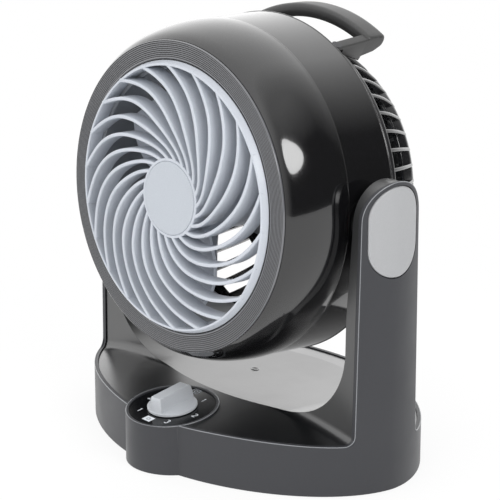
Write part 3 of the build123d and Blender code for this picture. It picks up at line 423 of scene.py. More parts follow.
@dataclass
class EffectShelf:
    """Builds each shared effect once.

    Each pair is the range of noise, or of the normal's upward part, over which an effect fades in.
    Scales are per metre, and a share is a scale as a multiple of the effect's main scale.
    """

    pits: Pair = (0.35, 0.68)
    smears: Pair = (0.42, 0.7)
    scuffs: Pair = (0.66, 0.78)
    motes: Pair = (0.5, 0.74)
    patches: Pair = (0.35, 0.7)
    level: Pair = (0.25, 0.95)
    patch_least: float = 0.3
    patch_scale: float = 18.0
    wave_share: float = 0.035
    scuff_share: float = 7.0
    scuff_turn: Triple = (0.4, 0.9, 0.3)
    scuff_stretch: Triple = (1.0, 14.0, 3.0)

    def __post_init__(self) -> None:
        """Make all the groups."""
        self.groups: dict[Effect, bpy.types.NodeTree] = {}
        self.grain()
        self.handling()
        self.dust()

    def start(self, effect: Effect, inputs: dict[str, float], outputs: Sequence[str]
              ) -> tuple[Wiring, Sockets, bpy.types.Node]:
        """New group that takes a vector and some numbers.

        Args:
            effect: Which effect.
            inputs: Names of its numbers with their defaults.
            outputs: Names of its values.

        Returns:
            The group's wiring, the sockets of its inputs and the node that takes its values.
        """
        group = bpy.data.node_groups.new(effect.value, "ShaderNodeTree")
        group.interface.new_socket("Vector", in_out="INPUT", socket_type="NodeSocketVector")
        for name, default in inputs.items():
            socket = group.interface.new_socket(name, in_out="INPUT", socket_type="NodeSocketFloat")
            socket.default_value = default
        for name in outputs:
            group.interface.new_socket(name, in_out="OUTPUT", socket_type="NodeSocketFloat")
        self.groups[effect] = group
        wire = Wiring(group)
        return wire, wire.add("NodeGroupInput").outputs, wire.add("NodeGroupOutput")

    def grain(self) -> None:
        """Spark-eroded grain of a mould: fine pits on soft, wider waves."""
        wire, given, result = self.start(Effect.GRAIN, {"Scale": 2600.0, "Wave": 0.3},
                                         ["Height", "Fleck"])
        pits = wire.noise(given["Vector"], given["Scale"], 3.0, 0.6)
        waves = wire.noise(given["Vector"], wire.math("MULTIPLY", given["Scale"], self.wave_share))
        height = wire.math("ADD", pits, wire.math("MULTIPLY", waves, given["Wave"]))
        wire.feed(result, {"Height": height, "Fleck": wire.span(pits, *self.pits)})

    def handling(self) -> None:
        """Soft smears and a few hair-fine scuffs where hands and cloths have been."""
        wire, given, result = self.start(Effect.HANDLING, {"Scale": 26.0}, ["Smear", "Scuff"])
        smear = wire.noise(given["Vector"], given["Scale"], 3.0, 0.55)
        stretch = wire.add("ShaderNodeMapping", {
            "Rotation": self.scuff_turn, "Scale": self.scuff_stretch, "Vector": given["Vector"]})
        scale = wire.math("MULTIPLY", given["Scale"], self.scuff_share)
        lines = wire.noise(stretch.outputs[0], scale, 4.0, 0.6)
        wire.feed(result, {"Smear": wire.span(smear, *self.smears),
                           "Scuff": wire.span(lines, *self.scuffs)})

    def dust(self) -> None:
        """Thin dust that lies on faces that look up, in patches."""
        wire, given, result = self.start(Effect.DUST, {"Up": 0.0, "Scale": 420.0}, ["Mask"])
        motes = wire.span(wire.noise(given["Vector"], given["Scale"], 4.0, 0.7), *self.motes)
        patch = wire.span(wire.noise(given["Vector"], self.patch_scale), *self.patches,
                          self.patch_least)
        level = wire.span(given["Up"], *self.level)
        mask = wire.math("MULTIPLY", wire.math("MULTIPLY", motes, patch), level)
        wire.feed(result, {"Mask": mask})


@dataclass(frozen=True)
class Moulded:
    """Finish of a moulded plastic, rubber or painted part; its colours are six-figure codes."""

    name: str
    colour: str
    fleck: str  # Colour in the grain's pits.
    rough: float = 0.4
    smear_rough: float = 0.08  # Added roughness where it was handled.
    grain: float = 2600.0  # Scale of the grain, per metre.
    depth: float = 0.012  # Depth of the grain, millimetres.
    dust: float = 0.1  # Share of dust on faces that look up.
    dust_rough: float = 0.5
    dust_colour: str = "b9b6af"
    specular: float = 0.5
    coat: float = 0.0  # Weight of a clear gloss on top.
    coat_rough: float = 0.04
    edge: float = 0.0  # Radius by which the shading rounds sharp edges, millimetres.
    slot: str = ""  # The record's material slot, where it isn't the name.

    def material(self, shelf: EffectShelf) -> bpy.types.Material:
        """Build the material.

        Args:
            shelf: The shared effects.

        Returns:
            The new material.
        """
        made, wire, shader = new_material(self.name)
        place = wire.add("ShaderNodeTexCoord").outputs
        grain, hands, dust = (
            wire.add("ShaderNodeGroup", {"Vector": place["Object"]}, node_tree=shelf.groups[effect])
            for effect in (Effect.GRAIN, Effect.HANDLING, Effect.DUST))
        upright = wire.add("ShaderNodeSeparateXYZ", {0: place["Normal"]}).outputs["Z"]
        wire.feed(grain, {"Scale": self.grain})
        wire.feed(dust, {"Up": upright})
        skin = wire.blend(grain.outputs["Fleck"], linear(self.colour), linear(self.fleck))
        veil = wire.math("MULTIPLY", dust.outputs["Mask"], self.dust)
        rough = self.rough
        for name in ("Smear", "Scuff"):
            rough = wire.math("MULTIPLY_ADD", hands.outputs[name], self.smear_rough, rough)
        bump = wire.add("ShaderNodeBump", {"Strength": 1.0, "Distance": self.depth * MM,
                                           "Height": grain.outputs["Height"]})
        if self.edge:
            rounded = wire.add("ShaderNodeBevel", {"Radius": self.edge * MM}, samples=4)
            wire.feed(bump, {"Normal": rounded.outputs[0]})
        wire.feed(shader, {
            "Base Color": wire.blend(veil, skin, linear(self.dust_colour)),
            "Roughness": wire.math("MULTIPLY_ADD", veil, self.dust_rough, rough),
            "Normal": bump.outputs["Normal"],
            "Specular IOR Level": self.specular,
            "Coat Weight": self.coat,
            "Coat Roughness": self.coat_rough})
        return made


@dataclass(frozen=True)
class Metal:
    """Finish of a turned, pressed or wound metal part; its colours are six-figure codes."""

    name: str
    colour: str
    stain: str  # Colour of its duller patches.
    rough: float = 0.3
    lines: float = 12.0  # How many times finer the tooling is along the fan axis than across it.
    line_scale: float = 900.0  # Scale of the tooling lines, per metre.
    line_depth: float = 0.02  # Their depth, millimetres.
    line_rough: Pair = (0.08, 0.12)  # Roughness taken off and added along them.
    patch_scale: float = 160.0
    slot: str = ""

    def material(self, shelf: EffectShelf) -> bpy.types.Material:
        """Build the material.

        Args:
            shelf: The shared effects.

        Returns:
            The new material.
        """
        made, wire, shader = new_material(self.name)
        place = wire.add("ShaderNodeTexCoord").outputs["Object"]
        hands = wire.add("ShaderNodeGroup", {"Vector": place, "Scale": self.patch_scale},
                         node_tree=shelf.groups[Effect.HANDLING])
        stretch = wire.add("ShaderNodeMapping", {"Scale": (1.0, self.lines, 1.0), "Vector": place})
        tool = wire.noise(stretch.outputs[0], self.line_scale, 3.0)
        less, more = self.line_rough
        skin = wire.blend(hands.outputs["Smear"], linear(self.colour), linear(self.stain))
        bump = wire.add("ShaderNodeBump", {"Distance": self.line_depth * MM, "Height": tool})
        wire.feed(shader, {
            "Base Color": skin,
            "Roughness": wire.span(tool, 0.2, 0.8, self.rough - less, self.rough + more),
            "Normal": bump.outputs["Normal"],
            "Metallic": 1.0})
        return made


class Finish(Enum):
    """Every finish on the fan, most under the names of the record's material slots."""

    BASE_GREY = Moulded("base_grey", "38393d", "313236", rough=0.36, grain=3200, depth=0.01,
                        dust=0.05, edge=0.5)
    DECK_GREY = Moulded("deck_grey", "141517", "111214", rough=0.3, smear_rough=0.04, grain=3000,
                        depth=0.006, dust=0.01, specular=0.95, coat=1.0, coat_rough=0.24, edge=0.5)
    # Paler than base_grey, whose slot it takes: painted highlight on the shell's edge bead and the
    # boss's edge ring.
    EDGE_HIGHLIGHT = Moulded("painted_edge_highlight", "85878b", "7c7e82", rough=0.2, dust=0.0, coat=0.6,
                        slot="base_grey")
    DUCT_GREY = Moulded("duct_grey", "909398", "888b90", rough=0.35, dust=0.03, slot="hidden_grey")
    HIDDEN_GREY = Moulded("hidden_grey", "3c3d40", "343538", rough=0.45, edge=0.3)
    GLOSS_BLACK = Moulded("gloss_black", "111113", "0d0d0e", rough=0.12, smear_rough=0.05,
                          grain=500, depth=0.004, dust=0.03, coat=1.0, coat_rough=0.03)
    GUARD_BLACK = Moulded("guard_black", "1d1d1f", "18181a", rough=0.25, dust=0.05, coat=0.7,
                          coat_rough=0.08, slot="gloss_black")
    BEZEL_GREY = Moulded("bezel_grey", "6a6b6f", "626367", rough=0.2, grain=3600, depth=0.006,
                         dust=0.0, coat=1.0, coat_rough=0.07)
    # Near-black in bezel_grey's slot: painted shade for the bezel's grooves and the gap inside its
    # inner edge.
    GROOVE_SHADE = Moulded("painted_groove_shade", "08080a", "050506", depth=0.004, dust=0.0,
                           slot="bezel_grey")
    VANE_GREY = Moulded("vane_grey", "c7ccd4", "bdc2ca", rough=0.36, depth=0.008, dust=0.04)
    CAP_GREY = Moulded("cap_grey", "bcc2c9", "b3b8c0", rough=0.3, depth=0.006, dust=0.03)
    KNOB_GREY = Moulded("knob_grey", "c2c5ca", "b8bcc1", rough=0.32, depth=0.006, dust=0.03)
    BLADE_GREY = Moulded("blade_grey", "d0d5de", "c4c9d3", rough=0.34, depth=0.006, dust=0.05)
    ARM_CAP_GREY = Moulded("arm_cap_grey", "a9aaac", "9fa0a2", rough=0.36, depth=0.008, dust=0.03)
    HANDLE_GREY = Moulded("handle_grey", "434343", "3a3a3a", rough=0.36, dust=0.06)
    DIAL_BLACK = Moulded("dial_black", "101114", "0c0d0f", rough=0.14, grain=900, depth=0.004,
                         dust=0.03, edge=0.3)
    RUBBER = Moulded("rubber", "1b1b1b", "141414", rough=0.75, depth=0.03, dust=0.3, specular=0.3)
    SLIDE_WHITE = Moulded("slide_white", "d2d0c8", "c6c4bc", depth=0.006)
    PRINT_WHITE = Moulded("print_white", "dfe3e8", "d2d6dc", rough=0.5, depth=0.004, dust=0.0,
                          slot="dial_black")
    PRINT_DIM = Moulded("print_dim", "a2a7ad", "979ca2", rough=0.5, depth=0.004, dust=0.0,
                        slot="dial_black")
    FIBRE = Moulded("fibre", "6b2f22", "5a261b", rough=0.7, grain=1500, depth=0.03)
    STEEL = Metal("steel", "b4b6b8", "8d8f92")
    IRON = Metal("iron", "6f7173", "595b5e", rough=0.42, lines=40)
    ALLOY = Metal("alloy", "a6a8a9", "8f9193", rough=0.46)
    COPPER = Metal("copper", "b26b42", "8e4f2e", rough=0.36, lines=30)
    BRONZE = Metal("bronze", "a07a45", "84643a", rough=0.5)


class Workshop:
    """Keeps the materials and hands them to pieces and CAD nodes."""

    def __init__(self, nodes: dict[str, bpy.types.Object]) -> None:
        """Build every finish once.

        Args:
            nodes: The CAD nodes of the frame, by name.
        """
        self.nodes = nodes
        shelf = EffectShelf()
        self.materials = {finish: finish.value.material(shelf) for finish in Finish}
        self.left = set(nodes)

    def dress(self, finish: Finish, *names: str) -> None:
        """Give CAD nodes a finish.

        Args:
            finish: The finish.
            names: Names of the nodes.
        """
        for name in names:
            slots = self.nodes[name].material_slots
            for slot in slots:
                slot.material = self.materials[finish]
            if not len(slots):
                self.nodes[name].data.materials.append(self.materials[finish])
            self.left.discard(name)

    def make(self, name: str, forms: Sequence[Form], finish: Finish, body: Body, *stands_for: str,
             sharp: float = SHARP) -> None:
        """Lay a new piece, finish it, let it ride and say which CAD nodes it stands for.

        Args:
            name: Name of the piece.
            forms: Its grids, in the head's frame on the head and in the row frame elsewhere.
            finish: Its finish.
            body: The body that it rides on.
            stands_for: CAD nodes that it replaces.
            sharp: Edges that bend by more than this many degrees stay sharp.
        """
        placed = [form.moved(HEAD.place) for form in forms] if body is Body.HEAD else forms
        piece = lay_mesh(name, placed, sharp)
        piece.data.materials.append(self.materials[finish])
        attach(piece, body.value)
        if stands_for:
            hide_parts(*stands_for)
            self.left.difference_update(stands_for)
        LOG.info("%s: %d faces on %s", piece.name, len(piece.data.polygons), body.value)


# ---------------- base
@dataclass
class BaseDress:
    """Deck, arms and skirt of the swinging base.

    The plan is a super-ellipse with half sizes half_x and half_y and the exponent power.  The lip
    is the edge of the outer shell, which stands above the deck and beside the arms.
    """

    shop: Workshop
    half_x: float = 126.9
    half_y: float = 87.0
    power: float = 1.82
    centre_y: float = 2.7
    rim_y: float = -85.0
    rim_z: float = 31.8
    deck_slope: float = 6.2
    rear_z: float = 36.0
    rear_slope: float = 9.2
    crown_flat: float = 40.0
    crown_r: float = 426.0
    lip: float = 0.8
    cove: float = 6.0
    arm_half: float = 21.4
    arm_low_half: float = 23.4
    arm_top_z: float = 171.1
    boss_r: float = 29.2
    bead_r: float = 0.33
    bead_proud: float = 0.05
    ring_r: float = 0.36
    ring_sunk: Pair = (0.3, 0.2)
    cap_half: float = 18.6
    cap_low_z: float = 153.9
    cap_high_z: float = 172.2
    cap_proud: float = 0.3
    cap_deep: float = 1.4
    cap_round: float = 1.0
    screw_place: Triple = (-15.0, 17.55, 32.99)
    screw_profile: Line = ((0.0, 0.02), (1.6, 0.02), (2.0, 0.3), (2.5, 0.35), (2.8, 0.05),
                           (2.8, -0.4), (0.0, -0.4))
    tray_up: Triple = (0.021, 0.091, 0.996)

    def wall_x(self, y: Points) -> Points:
        """Half width of the base at y: a (1 - |(y - y0) / b|^p)^(1/p)."""
        share = np.clip(np.abs((y - self.centre_y) / self.half_y), 0, 1) ** self.power
        return self.half_x * (1 - share) ** (1 / self.power)

    def deck_z(self, x: Points, y: Points) -> Points:
        """Height of the deck: the lower of two sloping planes, less the crown's fall to the sides.

        Args:
            x: Places across.
            y: Places along.

        Returns:
            Heights, crowned by a circle beyond the flat middle.
        """
        front = self.rim_z + (y - self.rim_y) * math.tan(math.radians(self.deck_slope))
        rear = self.rear_z - (y - self.arm_half) * math.tan(math.radians(self.rear_slope))
        out = np.clip(np.abs(x) - self.crown_flat, 0, None)
        return np.minimum(front, rear) - (self.crown_r - np.sqrt(self.crown_r ** 2 - out ** 2))

    def arm_side(self, sign: float) -> Points:
        """One side of an arm: from the deck through the cove, a quarter circle, to the round top.

        Args:
            sign: -1 for the front side and 1 for the rear side.

        Returns:
            Points (y, z), from the deck upwards.
        """
        foot = self.arm_low_half + self.lip
        y0 = sign * (foot + self.cove)
        z0 = float(self.deck_z(self.wall_x(np.array(y0)), np.array(y0))) + self.lip
        turn = np.linspace(0, np.pi / 2, 9)
        cove_y = sign * (foot + self.cove - self.cove * np.sin(turn))
        cove_z = z0 + self.cove * (1 - np.cos(turn))
        z = np.linspace(cove_z[-1], self.arm_top_z, 30)[1:]
        y = sign * np.interp(z, [z0, self.arm_top_z], [foot, self.arm_half + self.lip])
        return np.stack([np.concatenate([cove_y, y]), np.concatenate([cove_z, z])], axis=-1)

    def bead_paths(self) -> list[Points]:
        """Edge of the outer shell: front rim, an arm's sides and round top, and rear rim.

        The rims follow the plan: (a |cos t|^(2/p), y0 + b |sin t|^(2/p) with the sign of sin t).

        Returns:
            The right and the left edge, each of shape (points, 3).
        """
        half = self.arm_half + self.lip
        over = arc(half, half, self.arm_top_z, 180, 0, 33)[1:-1]
        side = np.concatenate([self.arm_side(-1.0), over, self.arm_side(1.0)[::-1]])
        arm = np.stack([self.wall_x(side[:, 0]), side[:, 0], side[:, 1]], axis=-1)
        foot = self.arm_low_half + self.lip + self.cove
        angle = np.radians(np.linspace(-90, 90, 721))
        c, s = np.cos(angle), np.sin(angle)
        x = self.half_x * np.abs(c) ** (2 / self.power)
        y = self.centre_y + self.half_y * np.abs(s) ** (2 / self.power) * np.sign(s)
        rim = np.stack([x, y, self.deck_z(x, y) + self.lip], axis=-1)
        clear = np.hypot(x, y - DIAL.origin[1]) > self.boss_r
        run = np.concatenate([rim[(y < -foot) & clear], arm[1:-1], rim[y > foot]])
        return [run, run * MIRROR]

    def edge_bead(self) -> None:
        """Rounded edge of the outer shell: a circle carried along it, held by the plan's normal."""
        forms = []
        half = np.array([self.half_x, self.half_y])
        for run in self.bead_paths():
            flat = run[:, :2] - np.array([0.0, self.centre_y])
            normal = np.sign(flat) * np.abs(flat / half) ** (self.power - 1) / half
            out = unit(np.column_stack([normal, np.zeros(len(run))]))
            across = unit(np.cross(unit(np.gradient(run, axis=0)), out))
            middle = run - out * (self.bead_r - self.bead_proud)
            forms.append(carry(circle(self.bead_r, 10), middle, out, across))
        # Painted highlight: the bead is finished far paler than the base so the edge shows as a
        # bright line.
        self.shop.make("shell_edge_bead", forms, Finish.EDGE_HIGHLIGHT, Body.YOKE)

    def boss_ring(self) -> None:
        """Rounded top edge of the switch boss: a circle carried round the dial's middle."""
        inwards, down = self.ring_sunk
        section = circle(self.ring_r, 10) + np.array([self.boss_r - inwards, self.lip - down])
        form = spin(section, 160).moved(lambda points: DIAL.place(points[..., [0, 2, 1]]))
        # Painted highlight: the ring is finished far paler than the boss so its edge shows as a
        # bright line.
        self.shop.make("boss_edge_ring", [form], Finish.EDGE_HIGHLIGHT, Body.YOKE)

    def cap_outline(self, half: float) -> Points:
        """Stadium of an arm cap: two half circles and the straights between them.

        Args:
            half: Radius of the half circles.

        Returns:
            Points (y, z).
        """
        top = arc(half, half, self.cap_high_z, 0, 180, 25)
        low = arc(-half, -half, self.cap_low_z, 0, 180, 25)
        left, right = np.linspace(top[-1], low[0], 14), np.linspace(low[-1], top[0], 14)
        return np.concatenate([top, left[1:-1], low, right[1:-1]])

    def arm_caps(self) -> None:
        """Pale caps: rings of the stadium, inset and raised along the quarter round of the rim."""
        turn = np.linspace(0, np.pi / 2, 7)
        rim = self.cap_proud - self.cap_round
        inset = np.concatenate([[self.cap_half, 0, 0], self.cap_round * (1 - np.cos(turn)),
                                np.linspace(self.cap_round, self.cap_half, 10)[1:]])
        rise = np.concatenate([[-self.cap_deep, -self.cap_deep, rim],
                               self.cap_proud - self.cap_round * (1 - np.sin(turn)),
                               [self.cap_proud] * 9])
        rings = np.stack([self.cap_outline(self.cap_half - d) for d in inset])
        x = self.wall_x(rings[..., 0]) + rise[:, None]
        right = np.concatenate([x[..., None], rings], axis=-1)
        for side, points in (("right", right), ("left", right * MIRROR)):
            self.shop.make(f"arm_cap_rounded_{side}", [Form(points, wrap_columns=True)],
                           Finish.ARM_CAP_GREY, Body.YOKE, f"arm_cap_{side}")

    def tray_screw(self) -> None:
        """Dished screw head in the tray: a profile of (radius, height) about the tray's upright."""
        up = unit(np.array(self.tray_up))
        side = unit(np.cross(up, Z_AXIS))
        axes = np.stack([side, up, np.cross(side, up)])
        form = spin(np.array(self.screw_profile), 40, closed=False)
        form = form.moved(lambda points: points @ axes + np.array(self.screw_place))
        self.shop.make("tray_screw", [form], Finish.GLOSS_BLACK, Body.YOKE)

    def build(self) -> None:
        """Dress the base."""
        self.shop.dress(Finish.BASE_GREY, "base_shell")
        self.shop.dress(Finish.DECK_GREY, "deck_tray")
        self.shop.dress(Finish.HIDDEN_GREY, "bottom_cover", "cord_gland", "foot_plate")
        self.shop.dress(Finish.RUBBER, "rubber_feet")
        self.shop.dress(Finish.SLIDE_WHITE, "glide_ring")
        self.edge_bead()
        self.boss_ring()
        self.tray_screw()
        self.arm_caps()


# ---------------- dial and knob
@dataclass(frozen=True)
class Mark:
    """A mark printed on the dial, upright for a hand in front of the fan."""

    angle: float  # Direction from the dial's middle, degrees from +X towards the head.
    lines: Sequence[Line]  # Pen lines in the mark's own frame, with y away from the hand.
    pen: float = 0.7
    out: float = 0.0  # Distance beyond the other marks' circle.


@dataclass
class DialDress:
    """Dial plate, its printing and the knob.

    The rows are the places across the grip at which the knob's height is worked out: first, last
    and count, over the grip's top and its flanks, and then a start and a count for the skirt.
    """

    shop: Workshop
    print_sunk: float = 0.02
    print_thick: float = 0.06
    dim_lift: float = 0.04
    mark_r: float = 20.2
    knob_r: float = 15.6
    knob_base: float = 0.6
    rim: float = 1.3
    dome: float = 2.9
    height: float = 10.8
    grip_half: float = 5.4
    grip_taper: float = 8.0
    grip_turn: float = 4.0
    grip_inset: float = 0.2
    nose_high: float = 7.0
    nose_long: float = 3.5
    top_rows: tuple[float, float, int] = (0.0, 2.3, 8)
    flank_rows: tuple[float, float, int] = (2.4, 6.2, 48)
    skirt_rows: tuple[float, int] = (6.4, 26)

    def knob_height(self, x: Points, y: Points) -> Points:
        """Height of the knob's upper face over (x, y), with y along the grip.

        The skirt is a dome, rim + (dome - rim) (1 - (d / R)^2)^0.8.  The grip's flanks and its
        ends, which follow the knob's circle, fall away from its top by the taper, and its pointing
        end slopes down.  Soft minima join them and a soft maximum joins grip and skirt.

        Args:
            x: Places across the grip.
            y: Places along the grip.

        Returns:
            Heights above the knob's foot.
        """
        away = np.hypot(x, y)
        far = np.clip(away / self.knob_r, 0, 1)
        skirt = self.rim + (self.dome - self.rim) * (1 - far ** 2) ** 0.8
        steep = math.tan(math.radians(self.grip_taper))
        flank = (self.grip_half - np.abs(x)) / steep + self.rim / 2
        end = (self.knob_r - self.grip_inset - away) / steep
        nose = (self.nose_high
                + (self.knob_r - y) * (self.height - self.nose_high) / self.nose_long)
        crest = self.soft_low(end, self.soft_low(flank, np.full_like(flank, self.height)), 0.9)
        return self.soft_top(np.maximum(self.soft_low(crest, nose, 3.2), 0), skirt)

    @staticmethod
    def soft_top(first: Points, second: Points, k: float = 3.2) -> Points:
        """Soft maximum of two heights: log(exp(a k) + exp(b k)) / k."""
        return np.logaddexp(first * k, second * k) / k

    @staticmethod
    def soft_low(first: Points, second: Points, k: float = 1.6) -> Points:
        """Soft minimum of two heights: -log(exp(-a k) + exp(-b k)) / k."""
        return -np.logaddexp(-first * k, -second * k) / k

    def lean(self, points: Points) -> Points:
        """Turn the grip towards its first mark and set the knob on the dial."""
        return DIAL.place(rotated(points, self.grip_turn, 0, 1) + Z_AXIS * self.knob_base)

    def knob(self) -> None:
        """Knob as a height over a disc: rows of x, with columns stretched over the disc's chord."""
        start, count = self.skirt_rows
        outer = self.knob_r * np.sin(np.linspace(math.asin(start / self.knob_r), np.pi / 2, count))
        half = np.concatenate([np.linspace(*self.top_rows), np.linspace(*self.flank_rows), outer])
        x = np.concatenate([-half[:0:-1], half])[:, None]
        v = np.sin(np.linspace(-np.pi / 2, np.pi / 2, 81))[None, :]
        y = v * np.sqrt(np.clip(self.knob_r ** 2 - x ** 2, 0, None))
        x = x + 0 * y
        top = np.stack([x, y, self.knob_height(x, y)], axis=-1)
        floor = top * (X_AXIS + Y_AXIS)
        skirted = np.concatenate([floor[:, :1], top, floor[:, -1:]], axis=1)
        forms = [Form(grid).moved(self.lean) for grid in (skirted, floor)]
        self.shop.make("finger_knob", forms, Finish.KNOB_GREY, Body.KNOB, "dial_knob", sharp=50)

    def stroke(self, mark: Mark, line: Line, lift: float) -> Form:
        """A pen line of a mark: each point moves sideways by half the pen's width either way.

        Args:
            mark: The mark.
            line: Its line.
            lift: Height above the other printing, millimetres.

        Returns:
            A thin closed slab on the dial.
        """
        middle = np.asarray(line, float)
        along = unit(np.gradient(middle, axis=0))
        beside = np.stack([-along[:, 1], along[:, 0]], axis=-1) * mark.pen / 2
        turn = math.radians(mark.angle)
        place = (self.mark_r + mark.out) * np.array([math.cos(turn), math.sin(turn)])
        flat = np.stack([middle - beside, middle + beside], axis=1) + place
        low = np.concatenate([flat, np.full(flat.shape[:2] + (1,), -self.print_sunk)], axis=-1)
        high = low + Z_AXIS * (self.print_thick + lift)
        rings = np.concatenate([low[:, :1], high[:, :1], high[:, 1:], low[:, 1:]], axis=1)
        return closed_by_middles(rings).moved(DIAL.place)

    def marks(self) -> None:
        """Plain numbers round the dial, a boxed mark beyond them and a pale plate near the hand."""
        one = [[(-0.8, 1.3), (0.1, 2.0)], [(0.1, 2.0), (0.1, -2.0)]]
        two = [[*arc(1.2, 1.1, 0.85, 160, -40), (-1.25, -1.9)], [(-1.25, -1.9), (1.35, -1.9)]]
        three = [arc(1.1, 0.95, 1.05, 150, -80), arc(1.2, 1.05, -0.95, 80, -150)]
        corners = rectangle((-2.9, -2.3), (2.9, 2.3))
        box = [corners[[k, (k + 1) % 4]] for k in range(4)]
        ring = [arc(1.1, 1.1, 0.0, 0, 360, 25)]
        plate = [[(-3.4, 0.0), (3.4, 0.0)]]
        white = [Mark(64, one), Mark(2, two), Mark(-50, three), Mark(-130, one), Mark(180, two),
                 Mark(135, three), Mark(-88, plate, 5.4)]
        dim = [Mark(101, box, 0.8, 3.8), Mark(101, ring, 0.7, 3.8), Mark(-88, ring, 0.8)]
        for finish, marks, lift in ((Finish.PRINT_WHITE, white, 0.0),
                                    (Finish.PRINT_DIM, dim, self.dim_lift)):
            forms = [self.stroke(mark, line, lift) for mark in marks for line in mark.lines]
            self.shop.make(f"dial_{finish.value.name}", forms, finish, Body.YOKE)

    def build(self) -> None:
        """Dress the dial."""
        self.shop.dress(Finish.DIAL_BLACK, "dial_plate")
        self.knob()
        self.marks()


# ---------------- head
@dataclass
class GrilleDress:
    """Front grille: spiral vanes between a ring and a capped hub."""

    shop: Workshop
    vanes: int = 22
    thick: float = 2.3
    deep: float = 11.0
    vane_rounds: Rounds = (1.1, 1.1, 0.3, 0.3)
    stations: Sequence[Triple] = (  # Radius, front y and turn in degrees along a vane.
        (22.6, -66.3, 14.8), (24.0, -66.5, 17.6), (30.0, -67.8, 28.9), (38.0, -69.8, 42.6),
        (46.0, -70.8, 53.7), (55.0, -70.0, 64.6), (65.0, -68.3, 76.2), (80.0, -66.0, 95.4),
        (81.0, -65.9, 96.6))
    ring: Line = ((79.8, -66.2), (81.1, -66.2), (82.9, -62.2), (82.9, -57.7), (87.0, -57.7),
                  (87.0, -56.2), (79.8, -56.2))
    ring_rounds: Rounds = (0.8, 0.6, 0.3, 0.2, 0.2, 0.2, 0.3)
    hub: Line = ((0.0, -64.5), (22.6, -64.5), (22.6, -66.5), (24.4, -66.5), (24.4, -55.1),
                 (21.5, -55.1), (21.5, -62.5), (0.0, -62.5))
    hub_rounds: Rounds = (0, 0.05, 0.3, 0.6, 0.3, 0.3, 0.3, 0)
    cap: Line = ((0.0, -66.9), (22.5, -66.9), (22.5, -64.5), (0.0, -64.5))
    cap_rounds: Rounds = (0, 0.9, 0.2, 0)
    cap_rows: tuple[float, float, int] = (2.0, 20.0, 7)  # Rings that keep its flat front smooth.

    def vane_forms(self) -> list[Form]:
        """Vanes: a rounded section carried along a spiral through the stations.

        Returns:
            One form for each vane.
        """
        line = smooth_line(np.array(self.stations), 44)
        r, front, turn = line[:, 0], line[:, 1], np.radians(line[:, 2])
        half, deep = self.thick / 2, self.deep / 2
        path = np.stack([r * np.cos(turn), front + deep, r * np.sin(turn)], axis=-1)
        along = np.gradient(path, axis=0) * (X_AXIS + Z_AXIS)
        section = soften(rectangle((-half, -deep), (half, deep)), self.vane_rounds, 9)
        one = carry(section, path, unit(np.cross(along, Y_AXIS)), Y_AXIS)
        return one.copies(np.arange(self.vanes) * 360 / self.vanes)

    def build(self) -> None:
        """Dress the grille."""
        ring = spin(soften(self.ring, self.ring_rounds), 192)
        hub = spin(lathe_line(self.hub, self.hub_rounds, 5), 96, closed=False)
        self.shop.make("spiral_grille", [ring, hub, *self.vane_forms()], Finish.VANE_GREY,
                       Body.HEAD, "front_grille")
        cap = lathe_line(self.cap, self.cap_rounds, 7)
        flat = [(r, cap[0, 1]) for r in np.linspace(*self.cap_rows)]
        cap = spin(np.concatenate([cap[:1], flat, cap[1:]]), 96, closed=False)
        self.shop.make("hub_cap", [cap], Finish.CAP_GREY, Body.HEAD, "grille_cap")


@dataclass
class BezelDress:
    """Flat front ring with fine rounded ridges; dark lines of painted shade fill the grooves
    between them.

    The inner and outer profile run up to the first and on from the last groove.
    """

    shop: Workshop
    front: float = -62.2
    first_r: float = 85.0
    last_r: float = 94.2
    ridges: int = 8
    groove: float = 0.6
    inner: Line = ((83.6, -57.7), (83.6, -61.7), (83.75, -62.05), (84.1, -62.2), (84.7, -62.2))
    outer: Line = ((94.5, -62.1), (94.9, -61.9), (95.0, -61.6), (95.0, -60.7), (92.7, -60.7),
                   (92.7, -57.7))
    line_r: float = 0.36
    line_sunk: float = 0.12

    def ring(self) -> Form:
        """Ridges are y = front + groove (1 - |sin(pi n)|), n pitches from the first groove.

        Returns:
            The ridged ring.
        """
        r = np.linspace(self.first_r, self.last_r, self.ridges * 9 + 1)
        n = (r - self.first_r) / (self.last_r - self.first_r) * self.ridges
        waves = np.stack([r, self.front + self.groove * (1 - np.abs(np.sin(np.pi * n)))], axis=-1)
        return spin(np.concatenate([self.inner, waves, self.outer]), 320)

    def lines(self) -> list[Form]:
        """Painted shade: dark circles carried round the fan axis, in the grooves and inside the
        inner edge.

        Returns:
            One form for each line.
        """
        bottom = self.front + self.groove - self.line_sunk
        middles = [(r, bottom) for r in np.linspace(self.first_r, self.last_r, self.ridges + 1)]
        middles.append((self.inner[0][0] - self.line_r, self.front + self.line_r))
        return [spin(circle(self.line_r, 8) + np.array(middle), 320) for middle in middles]

    def build(self) -> None:
        """Dress the bezel."""
        self.shop.make("ridged_bezel", [self.ring()], Finish.BEZEL_GREY, Body.HEAD, "bezel_ring",
                       sharp=70)
        # Painted shade: near-black rings where the grooves and the gap inside the inner edge fall
        # dark.
        self.shop.make("bezel_painted_shade_lines", self.lines(), Finish.GROOVE_SHADE, Body.HEAD)


